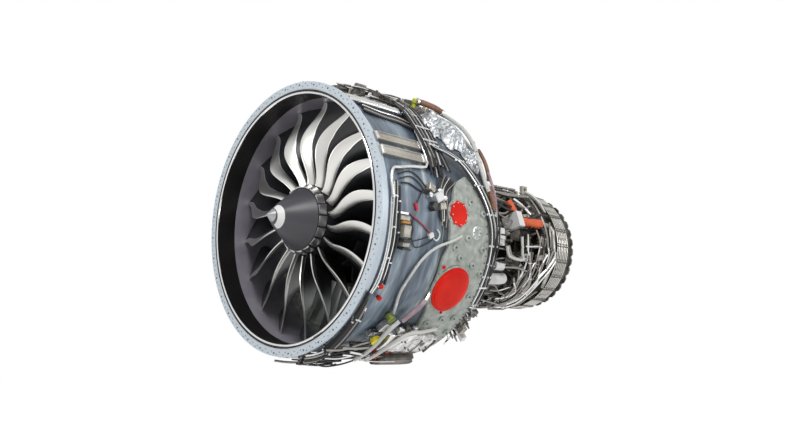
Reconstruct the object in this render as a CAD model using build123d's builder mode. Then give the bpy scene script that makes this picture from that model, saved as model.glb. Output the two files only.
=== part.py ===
from build123d import *
from math import cos, pi, radians, sin, sqrt, tan
import os

# A geared airliner fan engine without its nacelle, millimetres.
# The engine axis is Y: the air goes in at y = 0 and runs towards +Y. +Z is up, +X is the port side.
# The origin is the centre of the front face of the inlet flange.

# Driving dimensions: fan case and fan
TIP_R = 926             # fan blade tip radius
TIP_GAP = 4             # blade tip to case bore
FLANGE_R = 1020         # inlet flange, outer
FLANGE_T = 18
RING_BORE = 967         # inlet flange, inner edge, and the pocket of the acoustic liner
CASE_R = 974            # barrel, outer
CASE_LEN = 645
LINER_Y0 = 10
LINER_Y1 = 165
BOLT_PCD_R = 997
BOLT_N = 6
BOLT_HOLE_R = 8
GAP = 0.3               # seat gap between two pieces

# Fan exit case, the pale casting behind the barrel
EXIT_R = 986
EXIT_LEN = 515
EXIT_RIM_R = 1008
EXIT_RIM_T = 30
EXIT_BORE_AFT = 955

# Capped ports on the exit case: angle up from +X seen from the front, and station along Y
LARGE_PORT_ANGLE = -31.8
LARGE_PORT_Y = 832
LARGE_PORT_R = 184
LARGE_PORT_BORE = 150
LARGE_PORT_DEPTH = 30
LARGE_PORT_TOP = 1014
LARGE_CAP_R = 176
LARGE_CAP_T = 30
LARGE_CAP_DOME = 22
SMALL_PORT_ANGLE = -0.2
SMALL_PORT_Y = 775
SMALL_PORT_R = 112
SMALL_PORT_TOP = 1004
SMALL_COVER_R = 95
SMALL_COVER_T = 12

# Fan rotor
BLADE_N = 18
BLADE_PHASE = 145.3     # angle of the first blade root
SPINNER_TIP_Y = -185
SPINNER_BASE_Y = 111
SPINNER_R = 230
HUB_FRONT_R = 240
HUB_REAR_R = 338
HUB_REAR_Y = 430
# The fan runs anticlockwise as seen from the front: a negative stagger turns the leading edge that way.
# radius, leading edge y, leading edge angle past the root, chord, stagger, thickness, camber
BLADE_SECTIONS = (
    (270, 170, 0.0, 250, -14, 22, -20),
    (400, 146, 2.5, 285, -20, 17, -18),
    (530, 128, 6.6, 315, -29, 13, -16),
    (660, 153, 6.6, 325, -41, 11, -13),
    (790, 220, 2.4, 335, -53, 8, -9),
    (945, 276, -0.9, 346, -62, 6, -6),
)

# Core, from the splitter to the exhaust
SPLIT_LIP_R = 452
SPLIT_Y0 = 600
SPLIT_AFT_R = 560
SPLIT_INNER_R0 = 440
SPLIT_INNER_Y0 = 650
SPLIT_INNER_R1 = 520
SPLIT_Y1 = 1150
FRAME_Y0 = 440
FRAME_Y1 = 720
FRAME_R0 = 345
FRAME_R1 = 300
FRAME_WALL = 16
FRAME_BORE = 106
STRUT_N = 6
STRUT_T = 22
VANE_N = 36
VANE_Y0 = 700
VANE_CHORD = 150
VANE_T = 9
VANE_LEAN = 10
COMP_R = 330
COMP_Y1 = 1760
CASE_WALL = 15
BULKHEAD_T = 12
COMB_R = 430
COMB_Y1 = 2150
TURB_FRONT_R = 470
TURB_STEP_Y = 2450
TURB_R = 520
TURB_Y1 = 2790
EXHAUST_Y1 = 2960
EXHAUST_TAB_N = 36
EXHAUST_TAB_R = 548
EXHAUST_NOTCH_R = 531
EXHAUST_FLANGE_T = 16
EXHAUST_HUB_R = 274
EXHAUST_STRUT_N = 8

# Reduction gear: five star gears between the sun and the ring
GEAR_MODULE = 11
SUN_TEETH = 10
STAR_TEETH = 10
STAR_N = 5
GEAR_Y0 = 602
GEAR_W = 52
ADDENDUM = 7.5
DEDENDUM = 11
STAR_PIN_R = 24
STAR_RUN_GAP = 0.5

# Shafts and bearings
FAN_SHAFT_R = 80
LOW_SHAFT_R = 42
LOW_SHAFT_Y1 = 2900
HIGH_SHAFT_R = 70
HIGH_BORE = 56
BEARING_GAP = 0.05
BEARING_W = 26

TOOTH_HALF = 7.2        # half a tooth at the pitch circle
FLANK = 0.4             # flank slope

# Accessories: angle up from +X, station along Y, and sizes
RAIL_ANGLES = (28.6, 21.8)
RAIL_Y = (78, 515)
RAIL_WIDTH = 74
RAIL_H = 24
TANK_ANGLE = -58
TANK_Y = (430, 930)
TANK_WIDTH = 205
TANK_TOP = 1118
FILLER_Y = 372
FILLER_R = 24
FILLER_TOP = 1050
CAP_FLATS = 12
CAP_R = 36
CAP_H = 30
COOLER_ANGLE = -73.5
COOLER_Y = (650, 955)
COOLER_WIDTH = 150
COOLER_H = 118
FOIL_ANGLE = 47
FOIL_Y = (845, 1105)
FOIL_WIDTH = 380
FOIL_H = 105
CONTROL_ANGLE = 163
CONTROL_Y = (190, 590)
CONTROL_WIDTH = 300
CONTROL_H = 110
BLOCK_ANGLE = 3.6
BLOCK_Y = 505
BLEED_ANGLE = 17
BLEED_Y = 2110
BLEED_TOP = 598
BLEED_LENGTH = 76
BLEED_WIDTH = 140
SLEEVE_R = 42
SLEEVE_AXIS_R = 558
SLEEVE_Y1 = 2445
SMALL_SLEEVE_R = 34
PIPE_R = 22
UNISON_Y = 1320
UNISON_R = 372
UNISON_T = 12
UNISON_W = 16
TOWER_Y = 1186
TOWER_R = 12
GEARBOX_Y = (1200, 1400)
GEARBOX_Z = (-575, -430)
GEARBOX_HALF = 235
LINK_R = 16
MANIFOLD_N = 5
MANIFOLD_Y0 = 2700
MANIFOLD_PITCH = 38
MANIFOLD_R = 545
MANIFOLD_TUBE = 16
MANIFOLD_SIDES = 24
MANIFOLD_OPENING = 270
STRAP_N = 24
STRAP_T = 14
STRAP_TOP = 564
UNIT_CHAMFER = 6

# Small units: angle, first and last station, width round the case and the radius of the top
COMPRESSOR_UNITS = (
    (-4, 1560, 1740, 170, 520), (-32, 1600, 1725, 120, 505), (-58, 1645, 1740, 150, 515),
    (28, 1620, 1740, 110, 520),
    (50, 1560, 1700, 90, 480), (132, 1580, 1740, 120, 500), (158, 1500, 1720, 140, 520),
    (188, 1560, 1740, 150, 510),
    (218, 1520, 1700, 120, 500), (246, 1660, 1740, 110, 505),
)
COMBUSTOR_UNITS = (
    (-1, 1790, 1900, 150, 545), (-18, 1950, 2060, 90, 550), (-34, 1850, 1990, 100, 550),
    (-52, 1880, 2060, 110, 548),
    (-74, 1800, 2000, 120, 548), (-95, 1900, 2060, 110, 546), (36, 1790, 1940, 100, 548),
    (55, 1850, 2080, 90, 540),
    (128, 1820, 1990, 110, 546), (150, 1900, 2080, 120, 548), (174, 1790, 1960, 130, 546),
    (197, 1950, 2100, 110, 550),
    (220, 1800, 1980, 120, 546), (243, 1930, 2080, 120, 546), (1, 2000, 2130, 60, 540),
)
TURBINE_UNITS = (
    (-3, 2190, 2280, 70, 550), (-22, 2310, 2410, 80, 550), (-42, 2200, 2310, 90, 548),
    (-64, 2270, 2390, 80, 550),
    (-88, 2200, 2340, 100, 546), (42, 2180, 2300, 80, 550), (56, 2330, 2430, 60, 550),
    (126, 2190, 2330, 90, 546),
    (148, 2300, 2430, 90, 550), (172, 2200, 2320, 100, 546), (196, 2320, 2430, 90, 550),
    (220, 2200, 2330, 100, 546),
    (245, 2290, 2420, 100, 546),
)
BARREL_UNITS = (
    (66, 300, 350, 80, 1090), (63, 392, 450, 90, 1078), (62, 480, 540, 100, 1070), (73, 400, 530, 90, 1084),
    (81, 310, 420, 110, 1070), (85, 500, 620, 110, 1076), (94, 370, 500, 110, 1064),
    (102, 470, 600, 110, 1052),
    (112, 300, 430, 120, 1036),
)
EXIT_UNITS = (
    (62, 690, 780, 80, 1060), (71, 680, 800, 100, 1084), (69, 880, 990, 80, 1090), (79, 850, 970, 110, 1078),
    (88, 690, 830, 110, 1072), (96, 870, 1010, 110, 1060), (106, 700, 860, 120, 1046),
)

# Pipes as a radius and the stations (angle, y) that they pass;
# ducts as a radius and stations (angle, y, radius)
PIPE_RUN_R = 582
CORE_PIPES = (
    (14, ((-12, 2230), (-21, 2262), (-31, 2328), (-41, 2385), (-52, 2374), (-66, 2330), (-80, 2250))),
    (12, ((-8, 2575), (-25, 2530), (-34, 2469), (-47, 2440), (-60, 2411), (-74, 2360))),
    (11, ((33, 2170), (31, 2231), (29, 2290))),
    (12, ((58, 2560), (44, 2570), (30, 2560))),
    (10, ((-36, 2120), (-43, 2192), (-50, 2262), (-59, 2190), (-62, 2100))),
    (13, ((-9, 1925), (-16, 1970), (-19, 2080), (-14, 2170))),
    (10, ((46, 1722), (45, 1900), (46, 2100), (50, 2470))),
    (11, ((-27, 1741), (-27, 1880), (-26, 2100), (-28, 2240))),
    (10, ((-76, 1720), (-64, 1900), (-68, 2120), (-78, 2480))),
    (10, ((-100, 2480), (-85, 2500), (-66, 2520), (-48, 2560))),
    (12, ((125, 2470), (145, 2500), (165, 2480), (185, 2500), (205, 2480))),
    (11, ((145, 1740), (140, 1900), (138, 2130), (136, 2480))),
    (11, ((172.5, 1740), (184, 1900), (184, 2150), (182, 2420))),
    (11, ((232, 1700), (230, 1900), (232, 2140), (232, 2480))),
    (11, ((208, 2132), (222, 2160), (238, 2150), (254, 2130))),
)
CASE_DUCTS = (
    (21, ((54, 40, 1002), (55, 180, 1002), (54.5, 420, 1002), (52.5, 560, 1006))),
    (19, ((51.2, 40, 1001), (52.2, 180, 1001), (51.8, 420, 1001), (50, 560, 1004))),
    (27, ((74, 580, 974.3), (74, 580, 1036), (66, 575, 1034), (58, 575, 1032), (46, 590, 1026),
          (38, 590, 1022), (30, 590, 1018),
          (19, 580, 1014))),
    (27, ((74, 622, 1040), (66, 622, 1038), (58, 622, 1036), (46, 632, 1032), (38, 632, 1028),
          (30, 628, 1024),
          (19, 622, 1020))),
    (22, ((63, 838, 986.3), (63, 838, 1098), (62.4, 940, 1098), (61.8, 1040, 1090), (61.4, 1100, 1076))),
    (16, ((66, 1124, 1062), (50, 1125, 1050), (36, 1125, 1050), (25, 1085, 1048), (15.6, 1071, 1042),
          (11, 1092, 1036),
          (11, 1092, 986.3))),
    (22, ((20, 620, 1014), (25, 764, 1030), (21, 890, 1034), (14, 1000, 1032), (6, 1075, 1028),
          (-3, 1100, 1022),
          (-12, 1100, 1020), (-22, 1100, 1020), (-32, 1104, 1020), (-40, 1106, 1020),
          (-40, 1106, 986.3))),
)

RING_TEETH = SUN_TEETH + 2 * STAR_TEETH
SUN_R = GEAR_MODULE * SUN_TEETH / 2
STAR_R = GEAR_MODULE * STAR_TEETH / 2
RING_R = GEAR_MODULE * RING_TEETH / 2
STAR_ORBIT = SUN_R + STAR_R
BELL_R = RING_R + 26
DUCT_R = TIP_R + TIP_GAP
EXIT_Y0 = CASE_LEN + GAP
EXIT_Y1 = EXIT_Y0 + EXIT_LEN

os.makedirs("parts", exist_ok=True)


def save(piece, name):
    piece.part.label = name
    export_step(piece.part, f"parts/{name}.step")


def turned(*outline):
    """A ring turned about the engine axis from an outline of (radius, y) points."""
    with BuildPart() as ring:
        with BuildSketch(Plane.XY):
            with BuildLine():
                Polyline(*outline, close=True)
            make_face()
        revolve(axis=Axis.Y)
    return ring


def radial_plane(angle, y, radius):
    """A plane square to the engine radius at an angle, its x along the engine axis."""
    a = radians(angle)
    out = Vector(cos(a), 0, sin(a))
    return Plane(origin=out * radius + Vector(0, y, 0), x_dir=(0, 1, 0), z_dir=out)


def split_inner(y):
    """Radius of the inner wall of the core inlet case at a station."""
    share = (y - SPLIT_INNER_Y0) / (SPLIT_Y1 - SPLIT_INNER_Y0)
    return SPLIT_INNER_R0 + share * (SPLIT_INNER_R1 - SPLIT_INNER_R0)


# Fan case: one wound barrel with the inlet flange and the pocket of the acoustic liner
fan_case_outline = (
    (RING_BORE, 0), (FLANGE_R, 0), (FLANGE_R, FLANGE_T), (CASE_R, FLANGE_T),
    (CASE_R, CASE_LEN), (DUCT_R, CASE_LEN), (DUCT_R, LINER_Y1 + GAP), (RING_BORE, LINER_Y1 + GAP),
)
fan_case = turned(*fan_case_outline)
with fan_case:
    with Locations(Plane(origin=(0, 0, 0), x_dir=(1, 0, 0), z_dir=(0, -1, 0))):
        with PolarLocations(BOLT_PCD_R, BOLT_N, start_angle=180 / BOLT_N):
            Hole(BOLT_HOLE_R, depth=FLANGE_T)
save(fan_case, "fan_case")

acoustic_liner = turned(
    (DUCT_R, LINER_Y0), (RING_BORE - GAP, LINER_Y0), (RING_BORE - GAP, LINER_Y1), (DUCT_R, LINER_Y1),
)
save(acoustic_liner, "acoustic_liner")

# Fan exit case with its two port bosses
with BuildPart() as fan_exit_case:
    with BuildSketch(Plane.XY):
        with BuildLine():
            Polyline(
                (DUCT_R, EXIT_Y0), (EXIT_R, EXIT_Y0), (EXIT_R, EXIT_Y1 - EXIT_RIM_T),
                (EXIT_RIM_R, EXIT_Y1 - EXIT_RIM_T), (EXIT_RIM_R, EXIT_Y1), (EXIT_BORE_AFT, EXIT_Y1),
                close=True,
            )
        make_face()
    revolve(axis=Axis.Y)
    with BuildSketch(radial_plane(LARGE_PORT_ANGLE, LARGE_PORT_Y, LARGE_PORT_TOP)):
        Circle(LARGE_PORT_R)
    extrude(amount=-60)
    with BuildSketch(radial_plane(SMALL_PORT_ANGLE, SMALL_PORT_Y, SMALL_PORT_TOP)):
        Circle(SMALL_PORT_R)
    extrude(amount=-30)
    with BuildSketch(radial_plane(LARGE_PORT_ANGLE, LARGE_PORT_Y, LARGE_PORT_TOP)):
        Circle(LARGE_PORT_BORE)
    extrude(amount=-LARGE_PORT_DEPTH, mode=Mode.SUBTRACT)
save(fan_exit_case, "fan_exit_case")

with BuildPart() as large_port_cap:
    with BuildSketch(radial_plane(LARGE_PORT_ANGLE, LARGE_PORT_Y, LARGE_PORT_TOP + GAP)):
        Circle(LARGE_CAP_R)
    extrude(amount=LARGE_CAP_T)
    chamfer(large_port_cap.faces().sort_by(SortBy.DISTANCE)[-1].edges(), length=LARGE_CAP_DOME, length2=14)
save(large_port_cap, "large_port_cap")

with BuildPart() as small_port_cover:
    with BuildSketch(radial_plane(SMALL_PORT_ANGLE, SMALL_PORT_Y, SMALL_PORT_TOP + GAP)):
        Circle(SMALL_COVER_R)
    extrude(amount=SMALL_COVER_T)
save(small_port_cover, "small_port_cover")


# Fan exit guide vanes: lens-shaped, from the core inlet case out to the exit case
def exit_bore(y):
    return DUCT_R + (y - EXIT_Y0) / EXIT_LEN * (EXIT_BORE_AFT - DUCT_R)


def split_outer(y):
    return SPLIT_LIP_R + (y - SPLIT_Y0) / (SPLIT_Y1 - SPLIT_Y0) * (SPLIT_AFT_R - SPLIT_LIP_R)


def cut_plane(y0, r0, y1, r1, outward):
    """A plane through two (y, radius) points above +X, looking out or in."""
    along = Vector(r1 - r0, y1 - y0, 0).normalized()
    side = Vector(0, 0, 1 if outward else -1)
    return Plane(origin=(r0, y0, 0), x_dir=along, z_dir=along.cross(side))


vane_y1 = VANE_Y0 + VANE_CHORD
with BuildPart() as one_vane:
    lean = tan(radians(VANE_LEAN))
    belly = VANE_CHORD * 0.4
    with BuildSketch(radial_plane(0, VANE_Y0, SPLIT_LIP_R)):
        with BuildLine():
            Polyline(
                (0, 0), (belly, belly * lean + VANE_T / 2), (VANE_CHORD, VANE_CHORD * lean),
                (belly, belly * lean - VANE_T / 2), close=True,
            )
        make_face()
    extrude(amount=DUCT_R - SPLIT_LIP_R + 50)
    inner_end = [(y, split_outer(y) + GAP) for y in (VANE_Y0, vane_y1)]
    outer_end = [(y, exit_bore(y) - 2 * GAP) for y in (VANE_Y0, vane_y1)]
    split(bisect_by=cut_plane(*inner_end[0], *inner_end[1], True), keep=Keep.TOP)
    split(bisect_by=cut_plane(*outer_end[0], *outer_end[1], False), keep=Keep.TOP)

with BuildPart() as exit_guide_vanes:
    for i in range(VANE_N):
        add(one_vane.part, rotation=(0, 360 / VANE_N * i, 0))
save(exit_guide_vanes, "exit_guide_vanes")

# Fan rotor: spinner, hub, blades
spinner = turned((0, SPINNER_TIP_Y), (SPINNER_R, SPINNER_BASE_Y), (0, SPINNER_BASE_Y))
save(spinner, "spinner")

fan_hub = turned(
    (0, SPINNER_BASE_Y + GAP), (HUB_FRONT_R, SPINNER_BASE_Y + GAP),
    (HUB_REAR_R, HUB_REAR_Y), (0, HUB_REAR_Y),
)


def hub_radius(y):
    share = (y - SPINNER_BASE_Y) / (HUB_REAR_Y - SPINNER_BASE_Y)
    return HUB_FRONT_R + share * (HUB_REAR_R - HUB_FRONT_R)


def blade_section(radius, lead_y, lead_angle, chord, stagger, thick, camber):
    """One aerofoil on a plane square to the blade: two arcs bowed by the camber."""
    turn = radians(stagger)
    plane = radial_plane(0, 0, radius)
    start = (lead_y, radius * radians(lead_angle))

    def at(along, above):
        return (
            start[0] + along * cos(turn) - above * sin(turn),
            start[1] + along * sin(turn) + above * cos(turn),
        )

    with BuildSketch(plane) as aerofoil:
        with BuildLine():
            Spline(at(0, 0), at(chord * 0.45, camber + thick / 2), at(chord, 0))
            Spline(at(chord, 0), at(chord * 0.45, camber - thick / 2), at(0, 0))
        make_face()
    return aerofoil.sketch


with BuildPart() as one_blade:
    loft([blade_section(*section).face() for section in BLADE_SECTIONS], ruled=True)
    with BuildSketch(Plane.XY):
        with BuildLine():
            Polyline(
                (hub_radius(100) + GAP, 100), (TIP_R, 100), (TIP_R, 600), (hub_radius(600) + GAP, 600),
                close=True,
            )
        make_face()
    revolve(axis=Axis.Y, mode=Mode.INTERSECT)

with BuildPart() as fan_blades:
    for i in range(BLADE_N):
        add(one_blade.part, rotation=(0, -(BLADE_PHASE - 360 / BLADE_N * i), 0))
save(fan_blades, "fan_blades")
save(fan_hub, "fan_hub")

# Core inlet case: the splitter lip and the duct wall behind it
core_inlet_case = turned(
    (SPLIT_LIP_R, SPLIT_Y0), (SPLIT_AFT_R, SPLIT_Y1),
    (SPLIT_INNER_R1, SPLIT_Y1), (SPLIT_INNER_R0, SPLIT_INNER_Y0),
)
save(core_inlet_case, "core_inlet_case")


def struts(count, start_r, y0, y1, end0, end1, thick=STRUT_T, first_angle=90):
    """Flat radial struts from start_r out to end0 at y0 and to end1 at y1."""
    with BuildPart() as ring:
        for i in range(count):
            angle = radians(first_angle + 360 / count * i)
            out = Vector(cos(angle), 0, sin(angle))
            with BuildSketch(Plane(origin=(0, 0, 0), x_dir=out, z_dir=out.cross(Vector(0, 1, 0)))):
                with BuildLine():
                    Polyline((start_r, y0), (end0, y0), (end1, y1), (start_r, y1), close=True)
                make_face()
            extrude(amount=thick / 2, both=True)
    return ring.part


# Inlet frame: carries the fan bearing and the gear carrier, on struts across the core inlet
def frame_inner(y):
    return FRAME_R0 + (y - FRAME_Y0) / (FRAME_Y1 - FRAME_Y0) * (FRAME_R1 - FRAME_R0) - FRAME_WALL


FRAME_PLATE = 30
inlet_frame = turned(
    (FRAME_BORE, FRAME_Y0), (FRAME_R0, FRAME_Y0), (FRAME_R1, FRAME_Y1), (FRAME_R1 - FRAME_WALL, FRAME_Y1),
    (frame_inner(FRAME_Y0 + FRAME_PLATE), FRAME_Y0 + FRAME_PLATE), (FRAME_BORE, FRAME_Y0 + FRAME_PLATE),
)
frame_strut_y = (FRAME_Y1 - 66, FRAME_Y1 - 6)
frame_strut_r = [split_inner(y) - 2 * GAP for y in frame_strut_y]
with inlet_frame:
    add(struts(STRUT_N, FRAME_R1 - 8, *frame_strut_y, *frame_strut_r))
save(inlet_frame, "inlet_frame")

# Reduction gear
def toothed(teeth, pitch_r, inside=False, first=0.0, centre=(0, 0)):
    """Corner points of a gear: trapezoid teeth, four corners each, on a pitch circle."""
    tip = pitch_r - ADDENDUM if inside else pitch_r + ADDENDUM
    root = pitch_r + DEDENDUM if inside else pitch_r - DEDENDUM
    tip_half = (TOOTH_HALF - FLANK * ADDENDUM) / tip
    root_half = (TOOTH_HALF + FLANK * DEDENDUM) / root
    points = []
    for k in range(teeth):
        mid = radians(first + 360 / teeth * k)
        for radius, angle in ((root, -root_half), (tip, -tip_half), (tip, tip_half), (root, root_half)):
            points.append((centre[0] + radius * cos(mid + angle), centre[1] + radius * sin(mid + angle)))
    return points


def gear_plane(y):
    """A plane square to the engine axis: x is +X, its y is +Z, so it looks forward."""
    return Plane(origin=(0, y, 0), x_dir=(1, 0, 0), z_dir=(0, -1, 0))


ring_y1 = GEAR_Y0 + GEAR_W
with BuildPart() as ring_gear:
    with BuildSketch(gear_plane(ring_y1)):
        Circle(BELL_R)
        with BuildLine():
            Polyline(*toothed(RING_TEETH, RING_R, inside=True, first=90), close=True)
        make_face(mode=Mode.SUBTRACT)
    extrude(amount=GEAR_W - GAP)
save(ring_gear, "ring_gear")

star_y1 = ring_y1 - 4
star_w = GEAR_W - 8
with BuildPart() as sun_gear:
    with BuildSketch(gear_plane(star_y1)):
        with BuildLine():
            Polyline(*toothed(SUN_TEETH, SUN_R, first=90), close=True)
        make_face()
    extrude(amount=star_w)
save(sun_gear, "sun_gear")

for i in range(STAR_N):
    orbit = 90 + 360 / STAR_N * i
    centre = (STAR_ORBIT * cos(radians(orbit)), STAR_ORBIT * sin(radians(orbit)))
    with BuildPart() as star_gear:
        with BuildSketch(gear_plane(star_y1)):
            with BuildLine():
                first_tooth = orbit + 180 / STAR_TEETH
                Polyline(*toothed(STAR_TEETH, STAR_R, first=first_tooth, centre=centre), close=True)
            make_face()
            with Locations(centre):
                Circle(STAR_PIN_R + STAR_RUN_GAP, mode=Mode.SUBTRACT)
        extrude(amount=star_w)
    save(star_gear, f"star_gear_{i + 1}")

CARRIER_Y = (664, 690)
with BuildPart() as gear_carrier:
    with BuildSketch(gear_plane(CARRIER_Y[1])):
        Circle(frame_inner(CARRIER_Y[1]) - GAP)
        Circle(LOW_SHAFT_R + 8, mode=Mode.SUBTRACT)
    extrude(amount=CARRIER_Y[1] - CARRIER_Y[0])
    with BuildSketch(gear_plane(CARRIER_Y[0])):
        with PolarLocations(STAR_ORBIT, STAR_N, start_angle=90):
            Circle(STAR_PIN_R)
    extrude(amount=CARRIER_Y[0] - GEAR_Y0 - 3)
save(gear_carrier, "gear_carrier")

# Shafts
BELL_T = 12
fan_shaft = turned(
    (0, HUB_REAR_Y + GAP), (FAN_SHAFT_R, HUB_REAR_Y + GAP), (FAN_SHAFT_R, GEAR_Y0 - BELL_T),
    (BELL_R, GEAR_Y0 - BELL_T), (BELL_R, GEAR_Y0), (0, GEAR_Y0),
)
save(fan_shaft, "fan_shaft")

low_shaft = turned(
    (LOW_SHAFT_R - 12, star_y1 + GAP), (LOW_SHAFT_R, star_y1 + GAP),
    (LOW_SHAFT_R, LOW_SHAFT_Y1), (LOW_SHAFT_R - 12, LOW_SHAFT_Y1),
)
save(low_shaft, "low_shaft")

low_compressor_rotor = turned(
    (LOW_SHAFT_R + GAP, 850), (282, 850), (282, 760), (300, 760), (300, 880), (315, 880), (315, 1000),
    (282, 1000),
    (282, 880), (LOW_SHAFT_R + GAP, 880),
)
save(low_compressor_rotor, "low_compressor_rotor")

# Aft intermediate case: bearing hub and struts behind the low-pressure compressor
MID_Y = (1010, 1140)
MID_HUB_R = 160
MID_BORE = 95
mid_strut_y = (MID_Y[0] + 20, MID_Y[1] - 10)
intermediate_case = turned(
    (MID_BORE, MID_Y[0]), (MID_HUB_R, MID_Y[0]), (MID_HUB_R, MID_Y[1]), (MID_BORE, MID_Y[1]),
)
mid_strut_r = [split_inner(y) - 2 * GAP for y in mid_strut_y]
with intermediate_case:
    add(struts(STRUT_N, MID_HUB_R - 8, *mid_strut_y, *mid_strut_r, first_angle=90 + 180 / STRUT_N))
save(intermediate_case, "intermediate_case")

# Compressor case, with the bulkhead ring that closes the core inlet case
bulkhead_y0 = SPLIT_Y1 + GAP
bulkhead_y1 = bulkhead_y0 + BULKHEAD_T
compressor_shell = turned(
    (COMP_R - CASE_WALL, bulkhead_y0), (SPLIT_AFT_R, bulkhead_y0), (SPLIT_AFT_R, bulkhead_y1),
    (COMP_R, bulkhead_y1), (COMP_R, COMP_Y1), (COMP_R - CASE_WALL, COMP_Y1),
)
with BuildPart() as compressor_case:
    add(compressor_shell.part)
    with BuildSketch(Plane(origin=(0, TOWER_Y, -COMP_R - 20), x_dir=(1, 0, 0), z_dir=(0, 0, 1))):
        Circle(TOWER_R + GAP)
    extrude(amount=CASE_WALL + 30, mode=Mode.SUBTRACT)
    for i in range(6):
        with BuildSketch(radial_plane(30 + 60 * i, UNISON_Y, COMP_R - 5)):
            Rectangle(UNISON_W + 8, 24)
        extrude(amount=UNISON_R - GAP - COMP_R + 5)
save(compressor_case, "compressor_case")

unison_ring = turned(
    (UNISON_R, UNISON_Y - UNISON_W / 2), (UNISON_R + UNISON_T, UNISON_Y - UNISON_W / 2),
    (UNISON_R + UNISON_T, UNISON_Y + UNISON_W / 2), (UNISON_R, UNISON_Y + UNISON_W / 2),
)
save(unison_ring, "unison_ring")

# Vane actuator on the port side: the rod stands tangent to the unison ring
ACT_ROD_R = 7
ACT_X = UNISON_R + UNISON_T + ACT_ROD_R + 2
ACT_TRAVEL = 30
ACT_BODY_Z = (-290, -120)
ACT_BODY_HALF = 18
with BuildPart() as vane_actuator:
    with BuildSketch(Plane(origin=(ACT_X, UNISON_Y, ACT_BODY_Z[0]), x_dir=(1, 0, 0), z_dir=(0, 0, 1))):
        Rectangle(2 * ACT_BODY_HALF, 2 * ACT_BODY_HALF)
    extrude(amount=ACT_BODY_Z[1] - ACT_BODY_Z[0])
    with BuildSketch(Plane(origin=(ACT_X, UNISON_Y, ACT_BODY_Z[0] + 10), x_dir=(1, 0, 0), z_dir=(0, 0, 1))):
        Circle(ACT_ROD_R + 0.1)
    extrude(amount=ACT_BODY_Z[1] - ACT_BODY_Z[0], mode=Mode.SUBTRACT)
    foot_z = sum(ACT_BODY_Z) / 2
    foot_r = sqrt((COMP_R + GAP) ** 2 - (abs(foot_z) - 25) ** 2)
    with BuildSketch(
        Plane(origin=(foot_r, UNISON_Y + ACT_BODY_HALF + 20, foot_z), x_dir=(0, 1, 0), z_dir=(1, 0, 0))
    ):
        Rectangle(40, 50)
    extrude(amount=ACT_X - foot_r)
save(vane_actuator, "vane_actuator")

with BuildPart() as actuator_rod:
    with BuildSketch(
        Plane(origin=(ACT_X, UNISON_Y, ACT_BODY_Z[0] + 12 + ACT_TRAVEL), x_dir=(1, 0, 0), z_dir=(0, 0, 1))
    ):
        Circle(ACT_ROD_R)
    extrude(amount=-ACT_BODY_Z[0] - 12)
save(actuator_rod, "actuator_rod")

combustor_y0 = COMP_Y1 + GAP
combustor_case = turned(
    (COMP_R - CASE_WALL, combustor_y0), (COMB_R, combustor_y0), (COMB_R, COMB_Y1),
    (COMB_R - CASE_WALL, COMB_Y1), (COMB_R - CASE_WALL, combustor_y0 + CASE_WALL),
    (COMP_R - CASE_WALL, combustor_y0 + CASE_WALL),
)
save(combustor_case, "combustor_case")

CHAMBER_Y = (1880, 2120)
CHAMBER_INNER_R = 240
CHAMBER_R = COMB_R - CASE_WALL - GAP
combustion_chamber = turned(
    (CHAMBER_INNER_R, CHAMBER_Y[0]), (CHAMBER_R, CHAMBER_Y[0]), (CHAMBER_R, CHAMBER_Y[1]),
    (CHAMBER_INNER_R, CHAMBER_Y[1]),
)
save(combustion_chamber, "combustion_chamber")

turbine_y0 = COMB_Y1 + GAP
turbine_case = turned(
    (COMB_R - CASE_WALL, turbine_y0), (TURB_FRONT_R, turbine_y0), (TURB_FRONT_R, TURB_STEP_Y),
    (TURB_R, TURB_STEP_Y),
    (TURB_R, TURB_Y1), (TURB_R - CASE_WALL, TURB_Y1), (TURB_R - CASE_WALL, TURB_STEP_Y + CASE_WALL),
    (TURB_FRONT_R - CASE_WALL, TURB_STEP_Y + CASE_WALL), (TURB_FRONT_R - CASE_WALL, turbine_y0 + CASE_WALL),
    (COMB_R - CASE_WALL, turbine_y0 + CASE_WALL),
)
save(turbine_case, "turbine_case")

# Frame between the two turbines, which carries the rear high-pressure bearing
MID_TURB_Y = (2262, 2330)
MID_TURB_BORE = 95
mid_turbine_frame = turned(
    (MID_TURB_BORE, MID_TURB_Y[0]), (MID_TURB_BORE + 30, MID_TURB_Y[0]),
    (MID_TURB_BORE + 30, MID_TURB_Y[1]), (MID_TURB_BORE, MID_TURB_Y[1]),
)
turbine_wall = [TURB_FRONT_R - CASE_WALL - 2 * GAP] * 2
with mid_turbine_frame:
    add(struts(STRUT_N, MID_TURB_BORE + 20, *MID_TURB_Y, *turbine_wall))
save(mid_turbine_frame, "mid_turbine_frame")

# Rotors of the high-pressure spool
high_compressor_rotor = turned(
    (HIGH_BORE, 1095), (HIGH_SHAFT_R, 1095), (HIGH_SHAFT_R, TOWER_Y + 22), (200, TOWER_Y + 22),
    (200, 1460), (245, 1460), (245, 1720), (HIGH_BORE, 1720),
)
save(high_compressor_rotor, "high_compressor_rotor")

high_turbine_rotor = turned(
    (HIGH_BORE, 1720 + GAP), (HIGH_SHAFT_R, 1720 + GAP), (HIGH_SHAFT_R, 2175), (340, 2175), (340, 2225),
    (HIGH_SHAFT_R, 2225), (HIGH_SHAFT_R, 2300), (HIGH_BORE, 2300),
)
save(high_turbine_rotor, "high_turbine_rotor")

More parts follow.
